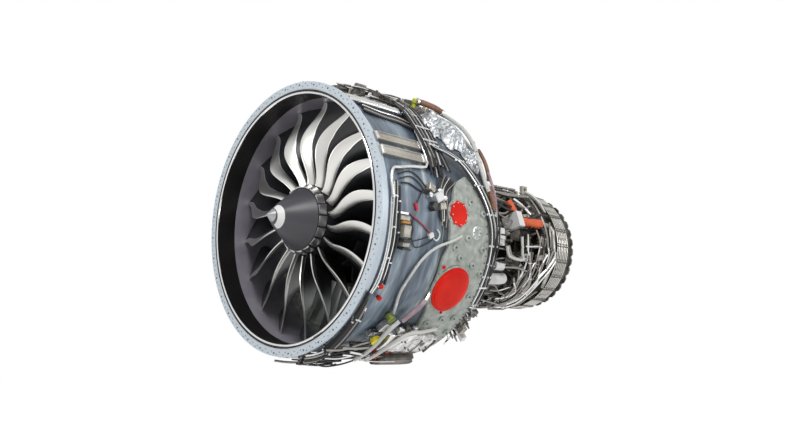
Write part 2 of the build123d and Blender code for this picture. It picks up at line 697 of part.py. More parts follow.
# Low-pressure turbine rotor with its last blade row
TURBINE_RIM_R = 292
TURBINE_RIM_Y = (2480, 2760)
TURBINE_WEB_Y = (2560, 2590)
TURBINE_RIM_T = 14
TURBINE_BLADE_N = 40
TURBINE_BLADE_TIP = 494
with BuildPart() as one_turbine_blade:
    with BuildSketch(radial_plane(0, 2732, TURBINE_RIM_R + GAP)):
        Rectangle(34, 6, rotation=35)
    extrude(amount=TURBINE_BLADE_TIP - TURBINE_RIM_R)
low_turbine_rotor = turned(
    (LOW_SHAFT_R + GAP, TURBINE_WEB_Y[0]), (TURBINE_RIM_R - TURBINE_RIM_T, TURBINE_WEB_Y[0]),
    (TURBINE_RIM_R - TURBINE_RIM_T, TURBINE_RIM_Y[0]), (TURBINE_RIM_R, TURBINE_RIM_Y[0]),
    (TURBINE_RIM_R, TURBINE_RIM_Y[1]), (TURBINE_RIM_R - TURBINE_RIM_T, TURBINE_RIM_Y[1]),
    (TURBINE_RIM_R - TURBINE_RIM_T, TURBINE_WEB_Y[1]), (LOW_SHAFT_R + GAP, TURBINE_WEB_Y[1]),
)
save(low_turbine_rotor, "low_turbine_rotor")

with BuildPart() as low_turbine_blades:
    for i in range(TURBINE_BLADE_N):
        add(one_turbine_blade.part, rotation=(0, 360 / TURBINE_BLADE_N * i, 0))
save(low_turbine_blades, "low_turbine_blades")

# Turbine exhaust case: shell, bearing hub and struts, and the scalloped flange
exhaust_y0 = TURB_Y1 + GAP
EXHAUST_HUB_BORE = 78
exhaust_shell = turned(
    (TURB_R - CASE_WALL, exhaust_y0), (TURB_R, exhaust_y0), (TURB_R, EXHAUST_Y1 - 2),
    (TURB_R - CASE_WALL, EXHAUST_Y1 - 2),
)
exhaust_hub = turned(
    (EXHAUST_HUB_BORE, exhaust_y0 + 5), (EXHAUST_HUB_R, exhaust_y0 + 5),
    (EXHAUST_HUB_R, EXHAUST_Y1 - 5), (EXHAUST_HUB_BORE, EXHAUST_Y1 - 5),
)
with BuildPart() as exhaust_case:
    add(exhaust_shell.part)
    add(exhaust_hub.part)
    exhaust_strut = (exhaust_y0 + 30, EXHAUST_Y1 - 25, TURB_R - CASE_WALL + 5, TURB_R - CASE_WALL + 5)
    add(struts(EXHAUST_STRUT_N, EXHAUST_HUB_R - 8, *exhaust_strut, thick=16))
    outline = []
    for i in range(EXHAUST_TAB_N):
        for radius, share in ((EXHAUST_NOTCH_R, 0), (EXHAUST_TAB_R, 0.28), (EXHAUST_TAB_R, 0.72)):
            angle = 2 * pi / EXHAUST_TAB_N * (i + share)
            outline.append((radius * cos(angle), radius * sin(angle)))
    with BuildSketch(gear_plane(EXHAUST_Y1)):
        with BuildLine():
            Polyline(*outline, close=True)
        make_face()
        Circle(TURB_R - CASE_WALL + 5, mode=Mode.SUBTRACT)
    extrude(amount=EXHAUST_FLANGE_T)
save(exhaust_case, "exhaust_case")

sump_cover = turned(
    (0, EXHAUST_Y1 - 5 + GAP), (190, EXHAUST_Y1 - 5 + GAP), (190, EXHAUST_Y1 + 30), (0, EXHAUST_Y1 + 30),
)
save(sump_cover, "sump_cover")

# Main bearings, drawn as closed rings
bearing_seats = (
    (FAN_SHAFT_R, FRAME_BORE, FRAME_Y0 + 2),
    (LOW_SHAFT_R, MID_BORE, MID_Y[0] + 4),
    (HIGH_SHAFT_R, MID_BORE, 1100),
    (HIGH_SHAFT_R, MID_TURB_BORE, 2268),
    (LOW_SHAFT_R, EXHAUST_HUB_BORE, 2860),
)
with BuildPart() as main_bearings:
    for shaft_r, bore_r, y in bearing_seats:
        with BuildSketch(Plane.XY):
            with BuildLine():
                Polyline(
                    (shaft_r + BEARING_GAP, y), (bore_r - BEARING_GAP, y),
                    (bore_r - BEARING_GAP, y + BEARING_W), (shaft_r + BEARING_GAP, y + BEARING_W), close=True,
                )
            make_face()
        revolve(axis=Axis.Y)
save(main_bearings, "main_bearings")

# Accessory drive under the compressor
with BuildPart() as tower_shaft:
    with BuildSketch(Plane(origin=(0, TOWER_Y, -HIGH_SHAFT_R - 8), x_dir=(1, 0, 0), z_dir=(0, 0, -1))):
        Circle(TOWER_R)
    extrude(amount=-GEARBOX_Z[1] - HIGH_SHAFT_R - 8 + 20)
save(tower_shaft, "tower_shaft")

with BuildPart() as accessory_gearbox:
    with BuildSketch(Plane.XY.offset(GEARBOX_Z[0])):
        with Locations((0, sum(GEARBOX_Y) / 2)):
            RectangleRounded(2 * GEARBOX_HALF, GEARBOX_Y[1] - GEARBOX_Y[0], 40)
    extrude(amount=GEARBOX_Z[1] - GEARBOX_Z[0])
    hanger_x = 120
    hanger_y = (GEARBOX_Y[0] + 10, UNISON_Y - UNISON_W / 2 - 22)
    hanger_top = -sqrt((COMP_R + GAP) ** 2 - (hanger_x - 25) ** 2) - GAP
    for side in (-1, 1):
        with BuildSketch(Plane.XY.offset(GEARBOX_Z[1] - 5)):
            with Locations((side * hanger_x, sum(hanger_y) / 2)):
                Rectangle(50, hanger_y[1] - hanger_y[0])
        extrude(amount=hanger_top - GEARBOX_Z[1] + 5)
    boss_y0 = bulkhead_y1 + 2
    with BuildSketch(Plane(origin=(0, (boss_y0 + GEARBOX_Y[0] + 20) / 2, GEARBOX_Z[1] - 20))):
        Rectangle(80, GEARBOX_Y[0] + 20 - boss_y0)
    extrude(amount=20)
    with BuildSketch(Plane(origin=(0, TOWER_Y, GEARBOX_Z[1] - 25), x_dir=(1, 0, 0), z_dir=(0, 0, 1))):
        Circle(TOWER_R + 0.1)
    extrude(amount=40, mode=Mode.SUBTRACT)
save(accessory_gearbox, "accessory_gearbox")

aft_plane_y = GEARBOX_Y[1] + GAP
gear_mid_z = sum(GEARBOX_Z) / 2
for name, x, radius, length in (("starter", -130, 66, 230), ("fuel_pump", 120, 58, 190)):
    with BuildPart() as pump:
        with BuildSketch(Plane(origin=(x, aft_plane_y, gear_mid_z), x_dir=(1, 0, 0), z_dir=(0, 1, 0))):
            Circle(radius)
        extrude(amount=length)
    save(pump, name)

# Mounts: forward block on the bulkhead, aft lugs on the exhaust case, and the two thrust links
FRONT_MOUNT_TOP = 600
FRONT_MOUNT_SPACING = (180, 44)
MOUNT_HOLE_R = 9
with BuildPart() as front_mount:
    with BuildSketch(Plane.XZ.offset(-bulkhead_y1 - GAP)):
        with Locations((0, (COMP_R + 30 + FRONT_MOUNT_TOP) / 2)):
            Rectangle(250, FRONT_MOUNT_TOP - COMP_R - 30)
    extrude(amount=-80)
    with Locations((0, bulkhead_y1 + GAP + 40, FRONT_MOUNT_TOP)):
        with GridLocations(*FRONT_MOUNT_SPACING, 2, 2):
            Hole(MOUNT_HOLE_R, depth=60)
save(front_mount, "front_mount")

REAR_MOUNT_Y = 2850
REAR_PIN_R = 15
REAR_PIN_Z = 605
with BuildPart() as rear_mount:
    with BuildSketch(Plane(origin=(0, REAR_MOUNT_Y, 500), x_dir=(1, 0, 0), z_dir=(0, 0, 1))):
        Rectangle(220, 90)
    extrude(amount=70)
    for x in (-70, 70):
        with BuildSketch(Plane(origin=(x - 15, REAR_MOUNT_Y, 0), x_dir=(0, 1, 0), z_dir=(1, 0, 0))):
            with Locations((0, 600)):
                Rectangle(80, 80)
            with Locations((0, REAR_PIN_Z)):
                Circle(REAR_PIN_R, mode=Mode.SUBTRACT)
        extrude(amount=30)
    with BuildSketch(gear_plane(REAR_MOUNT_Y + 60)):
        Circle(TURB_R + GAP)
    extrude(amount=120, mode=Mode.SUBTRACT)
save(rear_mount, "rear_mount")

with BuildPart() as thrust_links:
    for side in (1, -1):
        start = Vector(side * 190, bulkhead_y1 + GAP, 480)
        end = Vector(side * 60, REAR_MOUNT_Y - 45 - GAP, 548)
        with BuildSketch(Plane(origin=start, x_dir=(1, 0, 0), z_dir=(0, 1, 0))):
            Circle(LINK_R)
        extrude(amount=(end - start).length, dir=end - start)
save(thrust_links, "thrust_links")

# Pieces that stand on the fan case
with BuildPart() as case_rails:
    for angle in RAIL_ANGLES:
        with BuildSketch(radial_plane(angle, sum(RAIL_Y) / 2, CASE_R + GAP)):
            Rectangle(RAIL_Y[1] - RAIL_Y[0], RAIL_WIDTH)
        extrude(amount=RAIL_H)
save(case_rails, "case_rails")

with BuildPart() as oil_tank:
    with BuildSketch(radial_plane(TANK_ANGLE, sum(TANK_Y) / 2, EXIT_R + GAP)):
        Rectangle(TANK_Y[1] - TANK_Y[0], TANK_WIDTH)
    extrude(amount=TANK_TOP - EXIT_R - GAP)
    chamfer(oil_tank.faces().sort_by(SortBy.DISTANCE)[-1].edges(), 30)
    with BuildSketch(radial_plane(TANK_ANGLE, (FILLER_Y + TANK_Y[0]) / 2, CASE_R + GAP)):
        Rectangle(TANK_Y[0] - FILLER_Y + 60, 2 * FILLER_R + 8)
    extrude(amount=45)
    with BuildSketch(radial_plane(TANK_ANGLE, FILLER_Y, CASE_R + 40)):
        Circle(FILLER_R)
    extrude(amount=FILLER_TOP - CASE_R - 40)
save(oil_tank, "oil_tank")

with BuildPart() as oil_filler_cap:
    with BuildSketch(radial_plane(TANK_ANGLE, FILLER_Y, FILLER_TOP + GAP)):
        RegularPolygon(CAP_R, CAP_FLATS)
    extrude(amount=CAP_H)
save(oil_filler_cap, "oil_filler_cap")

with BuildPart() as oil_cooler:
    with BuildSketch(radial_plane(COOLER_ANGLE, sum(COOLER_Y) / 2, EXIT_R + GAP)):
        Rectangle(COOLER_Y[1] - COOLER_Y[0], COOLER_WIDTH)
    extrude(amount=COOLER_H)
    chamfer(oil_cooler.faces().sort_by(SortBy.DISTANCE)[-1].edges(), 18)
save(oil_cooler, "oil_cooler")

with BuildPart() as insulated_valve:
    with BuildSketch(radial_plane(FOIL_ANGLE, sum(FOIL_Y) / 2, EXIT_R + GAP)):
        Rectangle(FOIL_Y[1] - FOIL_Y[0], FOIL_WIDTH)
    extrude(amount=FOIL_H)
    chamfer(insulated_valve.faces().sort_by(SortBy.DISTANCE)[-1].edges(), 25)
save(insulated_valve, "insulated_valve")

with BuildPart() as electronic_control:
    with BuildSketch(radial_plane(CONTROL_ANGLE, sum(CONTROL_Y) / 2, CASE_R + GAP)):
        Rectangle(CONTROL_Y[1] - CONTROL_Y[0], CONTROL_WIDTH)
    extrude(amount=CONTROL_H)
save(electronic_control, "electronic_control")

with BuildPart() as valve_block:
    with BuildSketch(radial_plane(BLOCK_ANGLE, BLOCK_Y, CASE_R + GAP)):
        Rectangle(96, 84)
    extrude(amount=62)
save(valve_block, "valve_block")

# Bleed valve on the core with its two orange sleeves and the pipe behind them
with BuildPart() as bleed_valve:
    with BuildSketch(radial_plane(BLEED_ANGLE, BLEED_Y, COMB_R + GAP)):
        Rectangle(BLEED_LENGTH, BLEED_WIDTH)
    extrude(amount=BLEED_TOP - COMB_R - GAP)
save(bleed_valve, "bleed_valve")

bleed_out = Vector(cos(radians(BLEED_ANGLE)), 0, sin(radians(BLEED_ANGLE)))
bleed_up = Vector(-sin(radians(BLEED_ANGLE)), 0, cos(radians(BLEED_ANGLE)))
sleeve_y0 = BLEED_Y + BLEED_LENGTH / 2 + GAP
sleeve_start = bleed_out * SLEEVE_AXIS_R + Vector(0, sleeve_y0, 0)
SMALL_SLEEVE_TILT = 26
small_tilt = radians(SMALL_SLEEVE_TILT)
small_dir = Vector(0, -sin(small_tilt), 0) + bleed_up * cos(small_tilt)
small_lift = BLEED_WIDTH / 2 + GAP + SMALL_SLEEVE_R * sin(small_tilt)
small_start = bleed_out * (SLEEVE_AXIS_R - 10) + bleed_up * small_lift + Vector(0, BLEED_Y, 0)
with BuildPart() as valve_sleeves:
    with BuildSketch(Plane(origin=sleeve_start, x_dir=(0, 0, 1), z_dir=(0, 1, 0))):
        Circle(SLEEVE_R)
    extrude(amount=SLEEVE_Y1 - sleeve_y0)
    with BuildSketch(Plane(origin=small_start, z_dir=small_dir)):
        Circle(SMALL_SLEEVE_R)
    extrude(amount=110)
save(valve_sleeves, "valve_sleeves")


# The pipe runs aft from the sleeve and then down round the turbine case, with mitred bends
def around(angle, y, radius):
    return Vector(radius * cos(radians(angle)), y, radius * sin(radians(angle)))


pipe_y = SLEEVE_Y1 + 180
pipe_points = (
    around(BLEED_ANGLE, SLEEVE_Y1 + GAP, SLEEVE_AXIS_R),
    around(BLEED_ANGLE, pipe_y - 40, SLEEVE_AXIS_R),
    around(BLEED_ANGLE - 5, pipe_y, SLEEVE_AXIS_R),
    around(-14, pipe_y, SLEEVE_AXIS_R + 14),
    around(-44, pipe_y, SLEEVE_AXIS_R + 4),
)
with BuildPart() as bleed_pipe:
    with BuildLine() as pipe_line:
        Polyline(*pipe_points)
    with BuildSketch(Plane(origin=pipe_points[0], x_dir=(0, 0, 1), z_dir=(0, 1, 0))):
        Circle(PIPE_R)
    sweep(transition=Transition.RIGHT)
save(bleed_pipe, "bleed_pipe")


def case_below(y):
    """Outer radius of the core's case at a station."""
    if y < COMP_Y1:
        return COMP_R
    if y < COMB_Y1:
        return COMB_R
    return TURB_FRONT_R if y < TURB_STEP_Y else TURB_R


# Cooling manifold round the turbine: thin tubes side by side under cross straps,
# open at the top for the mount
with BuildPart() as cooling_manifold:
    for i in range(MANIFOLD_N):
        with BuildSketch(gear_plane(MANIFOLD_Y0 + MANIFOLD_PITCH * i)):
            RegularPolygon(MANIFOLD_R + MANIFOLD_TUBE, MANIFOLD_SIDES)
            RegularPolygon(MANIFOLD_R, MANIFOLD_SIDES, mode=Mode.SUBTRACT)
        extrude(amount=MANIFOLD_TUBE)
    strap_y = (MANIFOLD_Y0 - MANIFOLD_TUBE - 8, MANIFOLD_Y0 + MANIFOLD_PITCH * (MANIFOLD_N - 1) + 8)
    for i in range(STRAP_N):
        with BuildSketch(radial_plane(360 / STRAP_N * (i + 0.9), sum(strap_y) / 2, TURB_R + GAP)):
            Rectangle(strap_y[1] - strap_y[0], STRAP_T)
        extrude(amount=STRAP_TOP - TURB_R - GAP)
    with Locations((0, sum(strap_y) / 2, TURB_R)):
        Box(MANIFOLD_OPENING, 400, 400, mode=Mode.SUBTRACT)
save(cooling_manifold, "cooling_manifold")


def unit(angle, y0, y1, width, base_r, top_r):
    """A small box on a case, with its top edges broken."""
    with BuildPart() as box:
        with BuildSketch(radial_plane(angle, (y0 + y1) / 2, base_r + GAP)):
            Rectangle(y1 - y0, width)
        extrude(amount=top_r - base_r - GAP)
        chamfer(box.faces().sort_by(SortBy.DISTANCE)[-1].edges(), UNIT_CHAMFER)
    return box.part


# Valves, ignition boxes and brackets on the core, from the compressor to the turbine
with BuildPart() as core_units:
    for angle, y0, y1, width, top_r in COMPRESSOR_UNITS:
        add(unit(angle, y0, y1, width, COMP_R, top_r))
    for angle, y0, y1, width, top_r in COMBUSTOR_UNITS:
        add(unit(angle, y0, y1, width, COMB_R, top_r))
    for angle, y0, y1, width, top_r in TURBINE_UNITS:
        add(unit(angle, y0, y1, width, TURB_FRONT_R, top_r))
save(core_units, "core_units")

# Brackets, small valves and connector boxes across the top of the fan case and the exit case
with BuildPart() as top_units:
    for angle, y0, y1, width, top_r in BARREL_UNITS:
        add(unit(angle, y0, y1, width, CASE_R, top_r))
    for angle, y0, y1, width, top_r in EXIT_UNITS:
        add(unit(angle, y0, y1, width, EXIT_R, top_r))
save(top_units, "top_units")


def pipe(stations, radius, sides):
    """A mitred pipe of a few flat sides through stations of (angle, y, radius)."""
    points = [around(*station) for station in stations]
    with BuildPart() as run:
        with BuildLine():
            Polyline(*points)
        with BuildSketch(Plane(origin=points[0], z_dir=points[1] - points[0])):
            RegularPolygon(radius, sides)
        sweep(transition=Transition.RIGHT)
    return run.part


# Pipes on the core. Both ends of each run go down to the case below them
with BuildPart() as core_pipes:
    for radius, stations in CORE_PIPES:
        foot = [
            (*stations[0], case_below(stations[0][1]) + GAP),
            (*stations[-1], case_below(stations[-1][1]) + GAP),
        ]
        add(pipe([foot[0], *[(angle, y, PIPE_RUN_R) for angle, y in stations], foot[1]], radius, 6))
save(core_pipes, "core_pipes")

# Conduits, cable bundle and air ducts over the top and the port shoulder of the fan case
with BuildPart() as case_ducts:
    for radius, stations in CASE_DUCTS:
        add(pipe(stations, radius, 8))
save(case_ducts, "case_ducts")
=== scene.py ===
import math

import bpy
import numpy as np
from mathutils import Matrix


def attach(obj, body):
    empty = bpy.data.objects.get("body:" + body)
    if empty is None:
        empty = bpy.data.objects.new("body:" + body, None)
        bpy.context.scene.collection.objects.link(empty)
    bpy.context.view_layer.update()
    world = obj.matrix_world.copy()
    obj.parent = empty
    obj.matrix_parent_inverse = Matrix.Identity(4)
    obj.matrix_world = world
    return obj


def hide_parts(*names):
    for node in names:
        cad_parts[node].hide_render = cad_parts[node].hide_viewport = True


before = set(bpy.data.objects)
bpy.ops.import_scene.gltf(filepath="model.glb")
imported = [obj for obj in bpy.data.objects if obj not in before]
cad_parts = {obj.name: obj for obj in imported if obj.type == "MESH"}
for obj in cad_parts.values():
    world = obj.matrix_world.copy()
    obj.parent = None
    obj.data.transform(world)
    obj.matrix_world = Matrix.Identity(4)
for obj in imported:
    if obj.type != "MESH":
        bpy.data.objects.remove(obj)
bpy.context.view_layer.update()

# Fan case. A wound composite barrel with a machined aluminium inlet flange at its front.
# The barrel has steel-blue paint outside, its tone varying a little, with light and dark bands round it that
# are painted reflections; inside, the abradable band that the blade tips run against is a lilac-grey filled
# epoxy.


def linear(hex_code):
    """sRGB hex to linear: c / 12.92 up to 0.04045, and ((c + 0.055) / 1.055) ** 2.4 above it."""
    srgb = np.array([int(hex_code[i:i + 2], 16) for i in (1, 3, 5)]) / 255
    rgb = np.where(srgb <= 0.04045, srgb / 12.92, ((srgb + 0.055) / 1.055) ** 2.4)
    return (*rgb.tolist(), 1.0)


def add_node(material, kind, inputs=None, **settings):
    """Adds a node to a material, with its settings, and its inputs given as values or as output sockets."""
    made = material.node_tree.nodes.new(kind)
    for key, value in settings.items():
        setattr(made, key, value)
    for key, value in (inputs or {}).items():
        if isinstance(value, bpy.types.NodeSocket):
            material.node_tree.links.new(value, made.inputs[key])
        else:
            made.inputs[key].default_value = value
    return made


def finish_of(name, colour, roughness, metallic=0.0, **more):
    """A material of one colour, with the real finish's roughness and metallic share."""
    material = bpy.data.materials.new(name)
    material.use_nodes = True
    shader = material.node_tree.nodes["Principled BSDF"]
    shader.inputs["Base Color"].default_value = linear(colour)
    shader.inputs["Roughness"].default_value = roughness
    shader.inputs["Metallic"].default_value = metallic
    for key, value in more.items():
        shader.inputs[key].default_value = value
    return material


def mottle(material, stops, size, stretch=(1, 1, 1), detail=3.0):
    """Lets the base colour wander between the stops (place, hex) over patches of a size in metres."""
    where = add_node(material, "ShaderNodeTexCoord")
    scaled = add_node(
        material, "ShaderNodeMapping",
        {"Vector": where.outputs["Object"], "Scale": [s / size for s in stretch]},
    )
    noise = add_node(
        material, "ShaderNodeTexNoise", {"Vector": scaled.outputs["Vector"], "Scale": 1.0, "Detail": detail},
    )
    ramp = add_node(material, "ShaderNodeValToRGB", {"Fac": noise.outputs["Fac"]})
    while len(ramp.color_ramp.elements) < len(stops):
        ramp.color_ramp.elements.new(0.5)
    for element, (place, colour) in zip(ramp.color_ramp.elements, stops):
        element.position = place
        element.color = linear(colour)
    shader = material.node_tree.nodes["Principled BSDF"]
    material.node_tree.links.new(ramp.outputs["Color"], shader.inputs["Base Color"])
    return noise


def shell(points, wrap=False, slot=0):
    """Corners and faces over a grid points[i, j] that closes on itself along j. Each row joins the next.
    The last row joins the first if wrap is set; otherwise a flat face closes each end."""
    rows, cols = points.shape[:2]
    index = np.arange(rows * cols).reshape(rows, cols)
    index = np.hstack([index, index[:, :1]])
    ends = [index[:1, :-1], index[-1:, -2::-1]]
    if wrap:
        index = np.vstack([index, index[:1]])
        ends = []
    quads = np.stack([index[:-1, :-1], index[:-1, 1:], index[1:, 1:], index[1:, :-1]], axis=-1)
    return points.reshape(-1, 3), [quads.reshape(-1, 4)] + ends, slot


def volume_of(corners, faces):
    """Six times the volume inside the faces: each face is a fan of triangles, and each adds a . (b x c)."""
    total = 0.0
    for group in faces:
        for k in range(1, group.shape[1] - 1):
            a, b, c = corners[group[:, 0]], corners[group[:, k]], corners[group[:, k + 1]]
            total += np.einsum("ij,ij->", a, np.cross(b, c))
    return total


def make_piece(name, shells, finishes, body="engine", stands_for=(), sharp=35):
    """One mesh of closed shells, each turned to face outwards. A shell's last item picks its finish."""
    corners, loops, starts, slots, base, loop_count = [], [], [], [], 0, 0
    for points, faces, slot in shells:
        centre = points.mean(axis=0)
        turn = -1 if volume_of(points - centre, faces) < 0 else 1
        corners.append(points)
        for group in faces:
            loops.append((group[:, ::turn] + base).reshape(-1))
            starts.append(loop_count + np.arange(len(group)) * group.shape[1])
            slots.append(np.full(len(group), slot))
            loop_count += group.size
        base += len(points)
    corners, loops = np.concatenate(corners), np.concatenate(loops)
    starts, slots = np.concatenate(starts), np.concatenate(slots)
    mesh = bpy.data.meshes.new(name)
    mesh.vertices.add(len(corners))
    mesh.loops.add(len(loops))
    mesh.polygons.add(len(starts))
    mesh.vertices.foreach_set("co", corners.astype(np.float32).reshape(-1))
    mesh.loops.foreach_set("vertex_index", loops.astype(np.int32))
    mesh.polygons.foreach_set("loop_start", starts.astype(np.int32))
    for material in finishes:
        mesh.materials.append(material)
    mesh.polygons.foreach_set("material_index", slots.astype(np.int32))
    mesh.polygons.foreach_set("use_smooth", np.ones(len(starts), dtype=bool))
    mesh.update(calc_edges=True)
    mesh.set_sharp_from_angle(angle=math.radians(sharp))
    piece = bpy.data.objects.new(name, mesh)
    bpy.context.scene.collection.objects.link(piece)
    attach(piece, body)
    if stands_for:
        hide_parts(*stands_for)
    return piece


def turned(profile, around=240, slot=0, start=0.0, sweep=360.0):
    """The outline (radius, y) carried round the engine axis: x = r cos a, z = r sin a.
    A full turn closes on itself."""
    outline = np.array(profile, dtype=float)
    full = sweep >= 360
    angle = np.radians(start + np.linspace(0, sweep, around, endpoint=not full))[:, None]
    radius, y = outline[None, :, 0], outline[None, :, 1]
    points = np.stack([radius * np.cos(angle), y + 0 * angle, radius * np.sin(angle)], axis=-1)
    return shell(points, wrap=full, slot=slot)


def placed(y, angle, radius):
    """The point at a station, an angle up from +X in degrees and a radius, as an array of x, y, z."""
    y, angle, radius = np.broadcast_arrays(*[np.asarray(v, dtype=float) for v in (y, angle, radius)])
    turn = np.radians(angle)
    return np.stack([radius * np.cos(turn), y, radius * np.sin(turn)], axis=-1)


FLANGE_R, BARREL_R, BORE_R = 1.020, 0.974, 0.930
# The paint's tone varies a little; the light and dark bands that run round the barrel are painted
# reflections.
barrel_paint_and_painted_reflections = finish_of("steel-blue satin epoxy paint with painted reflection bands", "#56626F", 0.28, 0.0)
mottle(barrel_paint_and_painted_reflections, [(0.32, "#343E4B"), (0.46, "#586675"), (0.58, "#7F8E9C"), (0.68, "#C0CAC8")],
       0.24, (0.5, 2.4, 0.5))
flange_metal = finish_of("pale blue anodised aluminium", "#BFC9D1", 0.40, 0.2)
tip_seal = finish_of("lilac-grey filled epoxy", "#7D7983", 0.40)
mottle(tip_seal, [(0.30, "#68656E"), (0.70, "#94909A")], 0.40)
make_piece("fan_case", [
    turned([(0.967, 0), (FLANGE_R, 0), (FLANGE_R, 0.018), (0.980, 0.018), (BARREL_R, 0.026),
            (BARREL_R, 0.100),
            (0.967, 0.100)], slot=0),
    turned([(0.9672, 0.1002), (BARREL_R, 0.1002), (0.9765, 0.30), (BARREL_R, 0.645), (0.932, 0.645),
            (0.932, 0.1655), (0.9672, 0.1655)], slot=1),
    turned([(0.9322, 0.1660), (0.9322, 0.6445), (BORE_R, 0.6445), (BORE_R, 0.1660)], slot=2),
], [flange_metal, barrel_paint_and_painted_reflections, tip_seal], stands_for=["fan_case"])

# Bolts of the inlet flange: 36 large heads on one circle, and small ones in two looser rows between them.
# One generator with a fixed seed draws every scatter in this script but the creases of the foil, which
# have seeds of their own, so each run gives the same part.


def stud(profile, sides=10):
    """A turned post on the origin with its axis along z, from an outline (radius, height) going up."""
    outline = np.array(profile, dtype=float)
    angle = np.linspace(0, 2 * np.pi, sides, endpoint=False)[None, :]
    radius, height = outline[:, :1], outline[:, 1:]
    points = np.stack([radius * np.cos(angle), radius * np.sin(angle), height + 0 * angle], axis=-1)
    return shell(points)


def spread(template, places, normals, slot=0, aim=(0.31, 0.93, 0.17)):
    """A copy of a shell at each place, its z turned to the normal and its x as near as it goes to the aim."""
    corners, faces, _ = template
    places = np.asarray(places, dtype=float).reshape(-1, 3)
    up = np.asarray(normals, dtype=float) * np.ones((len(places), 1))
    up = up / np.linalg.norm(up, axis=1, keepdims=True)
    aim = np.asarray(aim, dtype=float) * np.ones((len(places), 1))
    side = np.cross(up, aim)
    side = side / np.linalg.norm(side, axis=1, keepdims=True)
    front = np.cross(side, up)
    spots = (places[:, None] + corners[None, :, :1] * front[:, None] + corners[None, :, 1:2] * side[:, None]
             + corners[None, :, 2:] * up[:, None])
    shift = (np.arange(len(places)) * len(corners))[:, None, None]
    return spots.reshape(-1, 3), [(group[None] + shift).reshape(-1, group.shape[1]) for group in faces], slot


dark_bolt = finish_of("cadmium-plated steel bolts", "#55606A", 0.40, 0.6)
rng = np.random.default_rng(7)
BOLT_START, BOLT_STEP, CLEAR_OF_BOLT = 3.0, 10, 1.2
big_angles = np.arange(36) * BOLT_STEP + BOLT_START
small_angles = np.arange(180) * 2 + 1.0 + rng.uniform(-0.35, 0.35, 180)
from_bolt = (small_angles - BOLT_START + BOLT_STEP / 2) % BOLT_STEP - BOLT_STEP / 2
small_angles = small_angles[np.abs(from_bolt) > CLEAR_OF_BOLT]
small_rows = np.where(np.arange(len(small_angles)) % 2 == 0, 0.9865, 1.0045)
small_rows = small_rows + rng.uniform(-0.002, 0.002, len(small_angles))
make_piece("inlet_flange_bolts", [
    spread(stud([(0.0062, -0.0005), (0.0062, 0.004), (0.004, 0.006)], 8), placed(0, big_angles, 0.996),
           (0, -1, 0)),
    spread(stud([(0.0036, -0.0005), (0.0036, 0.003)], 6), placed(0, small_angles, small_rows), (0, -1, 0)),
], [dark_bolt])

# Inlet lip between the flange and the liner: a polished aluminium ring, a dark gap with twelve black
# seal segments in it, and a thin bright rim against the flange.
polished_ring = finish_of("polished aluminium", "#D9DADB", 0.16, 1.0)
black_rubber = finish_of("black silicone rubber", "#0C0C0E", 0.55)
make_piece("polished_inlet_ring", [
    turned([(0.9302, 0.0095), (0.9302, 0.0025), (0.9335, -0.0008), (0.943, -0.0008), (0.9462, 0.0025),
            (0.9462, 0.0095)]),
    turned([(0.9615, 0.0095), (0.9615, 0.0005), (0.9655, 0.0005), (0.9655, 0.0095)]),
], [polished_ring])
make_piece("inlet_gap_filler", [
    turned([(0.9465, 0.0096), (0.9465, 0.0078), (0.9612, 0.0078), (0.9612, 0.0096)]),
] + [
    turned([(0.948, 0.0077), (0.948, 0.0010), (0.9600, 0.0010), (0.9600, 0.0077)],
           around=14, start=12 + 30 * k, sweep=11)
    for k in range(12)
], [black_rubber])

# Acoustic liner ahead of the blades: a drilled composite skin, nearly black with a brown cast.
# Its holes are 1.6 mm on a 4 mm pitch, too fine to show, so they are drawn at a 9 mm pitch.
liner_skin = finish_of("drilled black composite skin", "#0F0D0D", 0.50, **{"Specular IOR Level": 0.25})
where = add_node(liner_skin, "ShaderNodeTexCoord")
holes = add_node(liner_skin, "ShaderNodeTexVoronoi", {"Vector": where.outputs["Object"], "Scale": 1 / 0.009})
edge = add_node(liner_skin, "ShaderNodeMapRange", {
    "Value": holes.outputs["Distance"], "From Min": 0.25, "From Max": 0.40, "To Min": 0.0, "To Max": 1.0,
})
dent = add_node(liner_skin, "ShaderNodeBump",
                {"Height": edge.outputs["Result"], "Distance": 0.0006, "Strength": 0.4})
liner_skin.node_tree.links.new(dent.outputs["Normal"],
                               liner_skin.node_tree.nodes["Principled BSDF"].inputs["Normal"])
make_piece("acoustic_liner", [
    turned([(BORE_R, 0.010), (0.9667, 0.010), (0.9667, 0.165), (BORE_R, 0.165)]),
], [liner_skin], stands_for=["acoustic_liner"])

# Fan blades: eighteen hollow aluminium aerofoils under a dark polyurethane coat, each with a bare, satin
# titanium sheath bonded over its leading edge. The sheath ends in a step along its aft edge, and a brighter
# strip over that step is a painted highlight. The fan runs anticlockwise as seen from the front, so the
# leading edges stand ahead on that side.
BLADES, SPAN, CHORD, SHEATH_COLS, UNDER_COLS = 18, 44, 30, 9, 6
BLADE_STEP, ROOT_R, TIP_R, SHEATH_LIFT = 360 / BLADES, 0.272, 0.926, 0.0009
station_r = np.array([0.270, 0.400, 0.530, 0.660, 0.790, TIP_R])
station_share = (station_r - station_r[0]) / (station_r[-1] - station_r[0])
lead_r = ROOT_R + (TIP_R - ROOT_R) * np.linspace(0, 1, SPAN)
share = (lead_r - station_r[0]) / (station_r[-1] - station_r[0])
lead_y = np.polyval(np.polyfit(station_share, [0.170, 0.146, 0.128, 0.153, 0.220, 0.267], 4), share)
lead_angle = 145.3 + np.polyval(np.polyfit(station_share, [0.0, 2.5, 6.6, 6.6, 2.4, -0.5], 4), share)
chord = np.interp(lead_r, station_r, [0.250, 0.285, 0.315, 0.325, 0.335, 0.345])
stagger = np.radians(np.polyval(np.polyfit(station_share, [14, 20, 29, 41, 53, 61], 3), share))
thick = np.interp(lead_r, station_r, [0.022, 0.017, 0.013, 0.011, 0.008, 0.006])
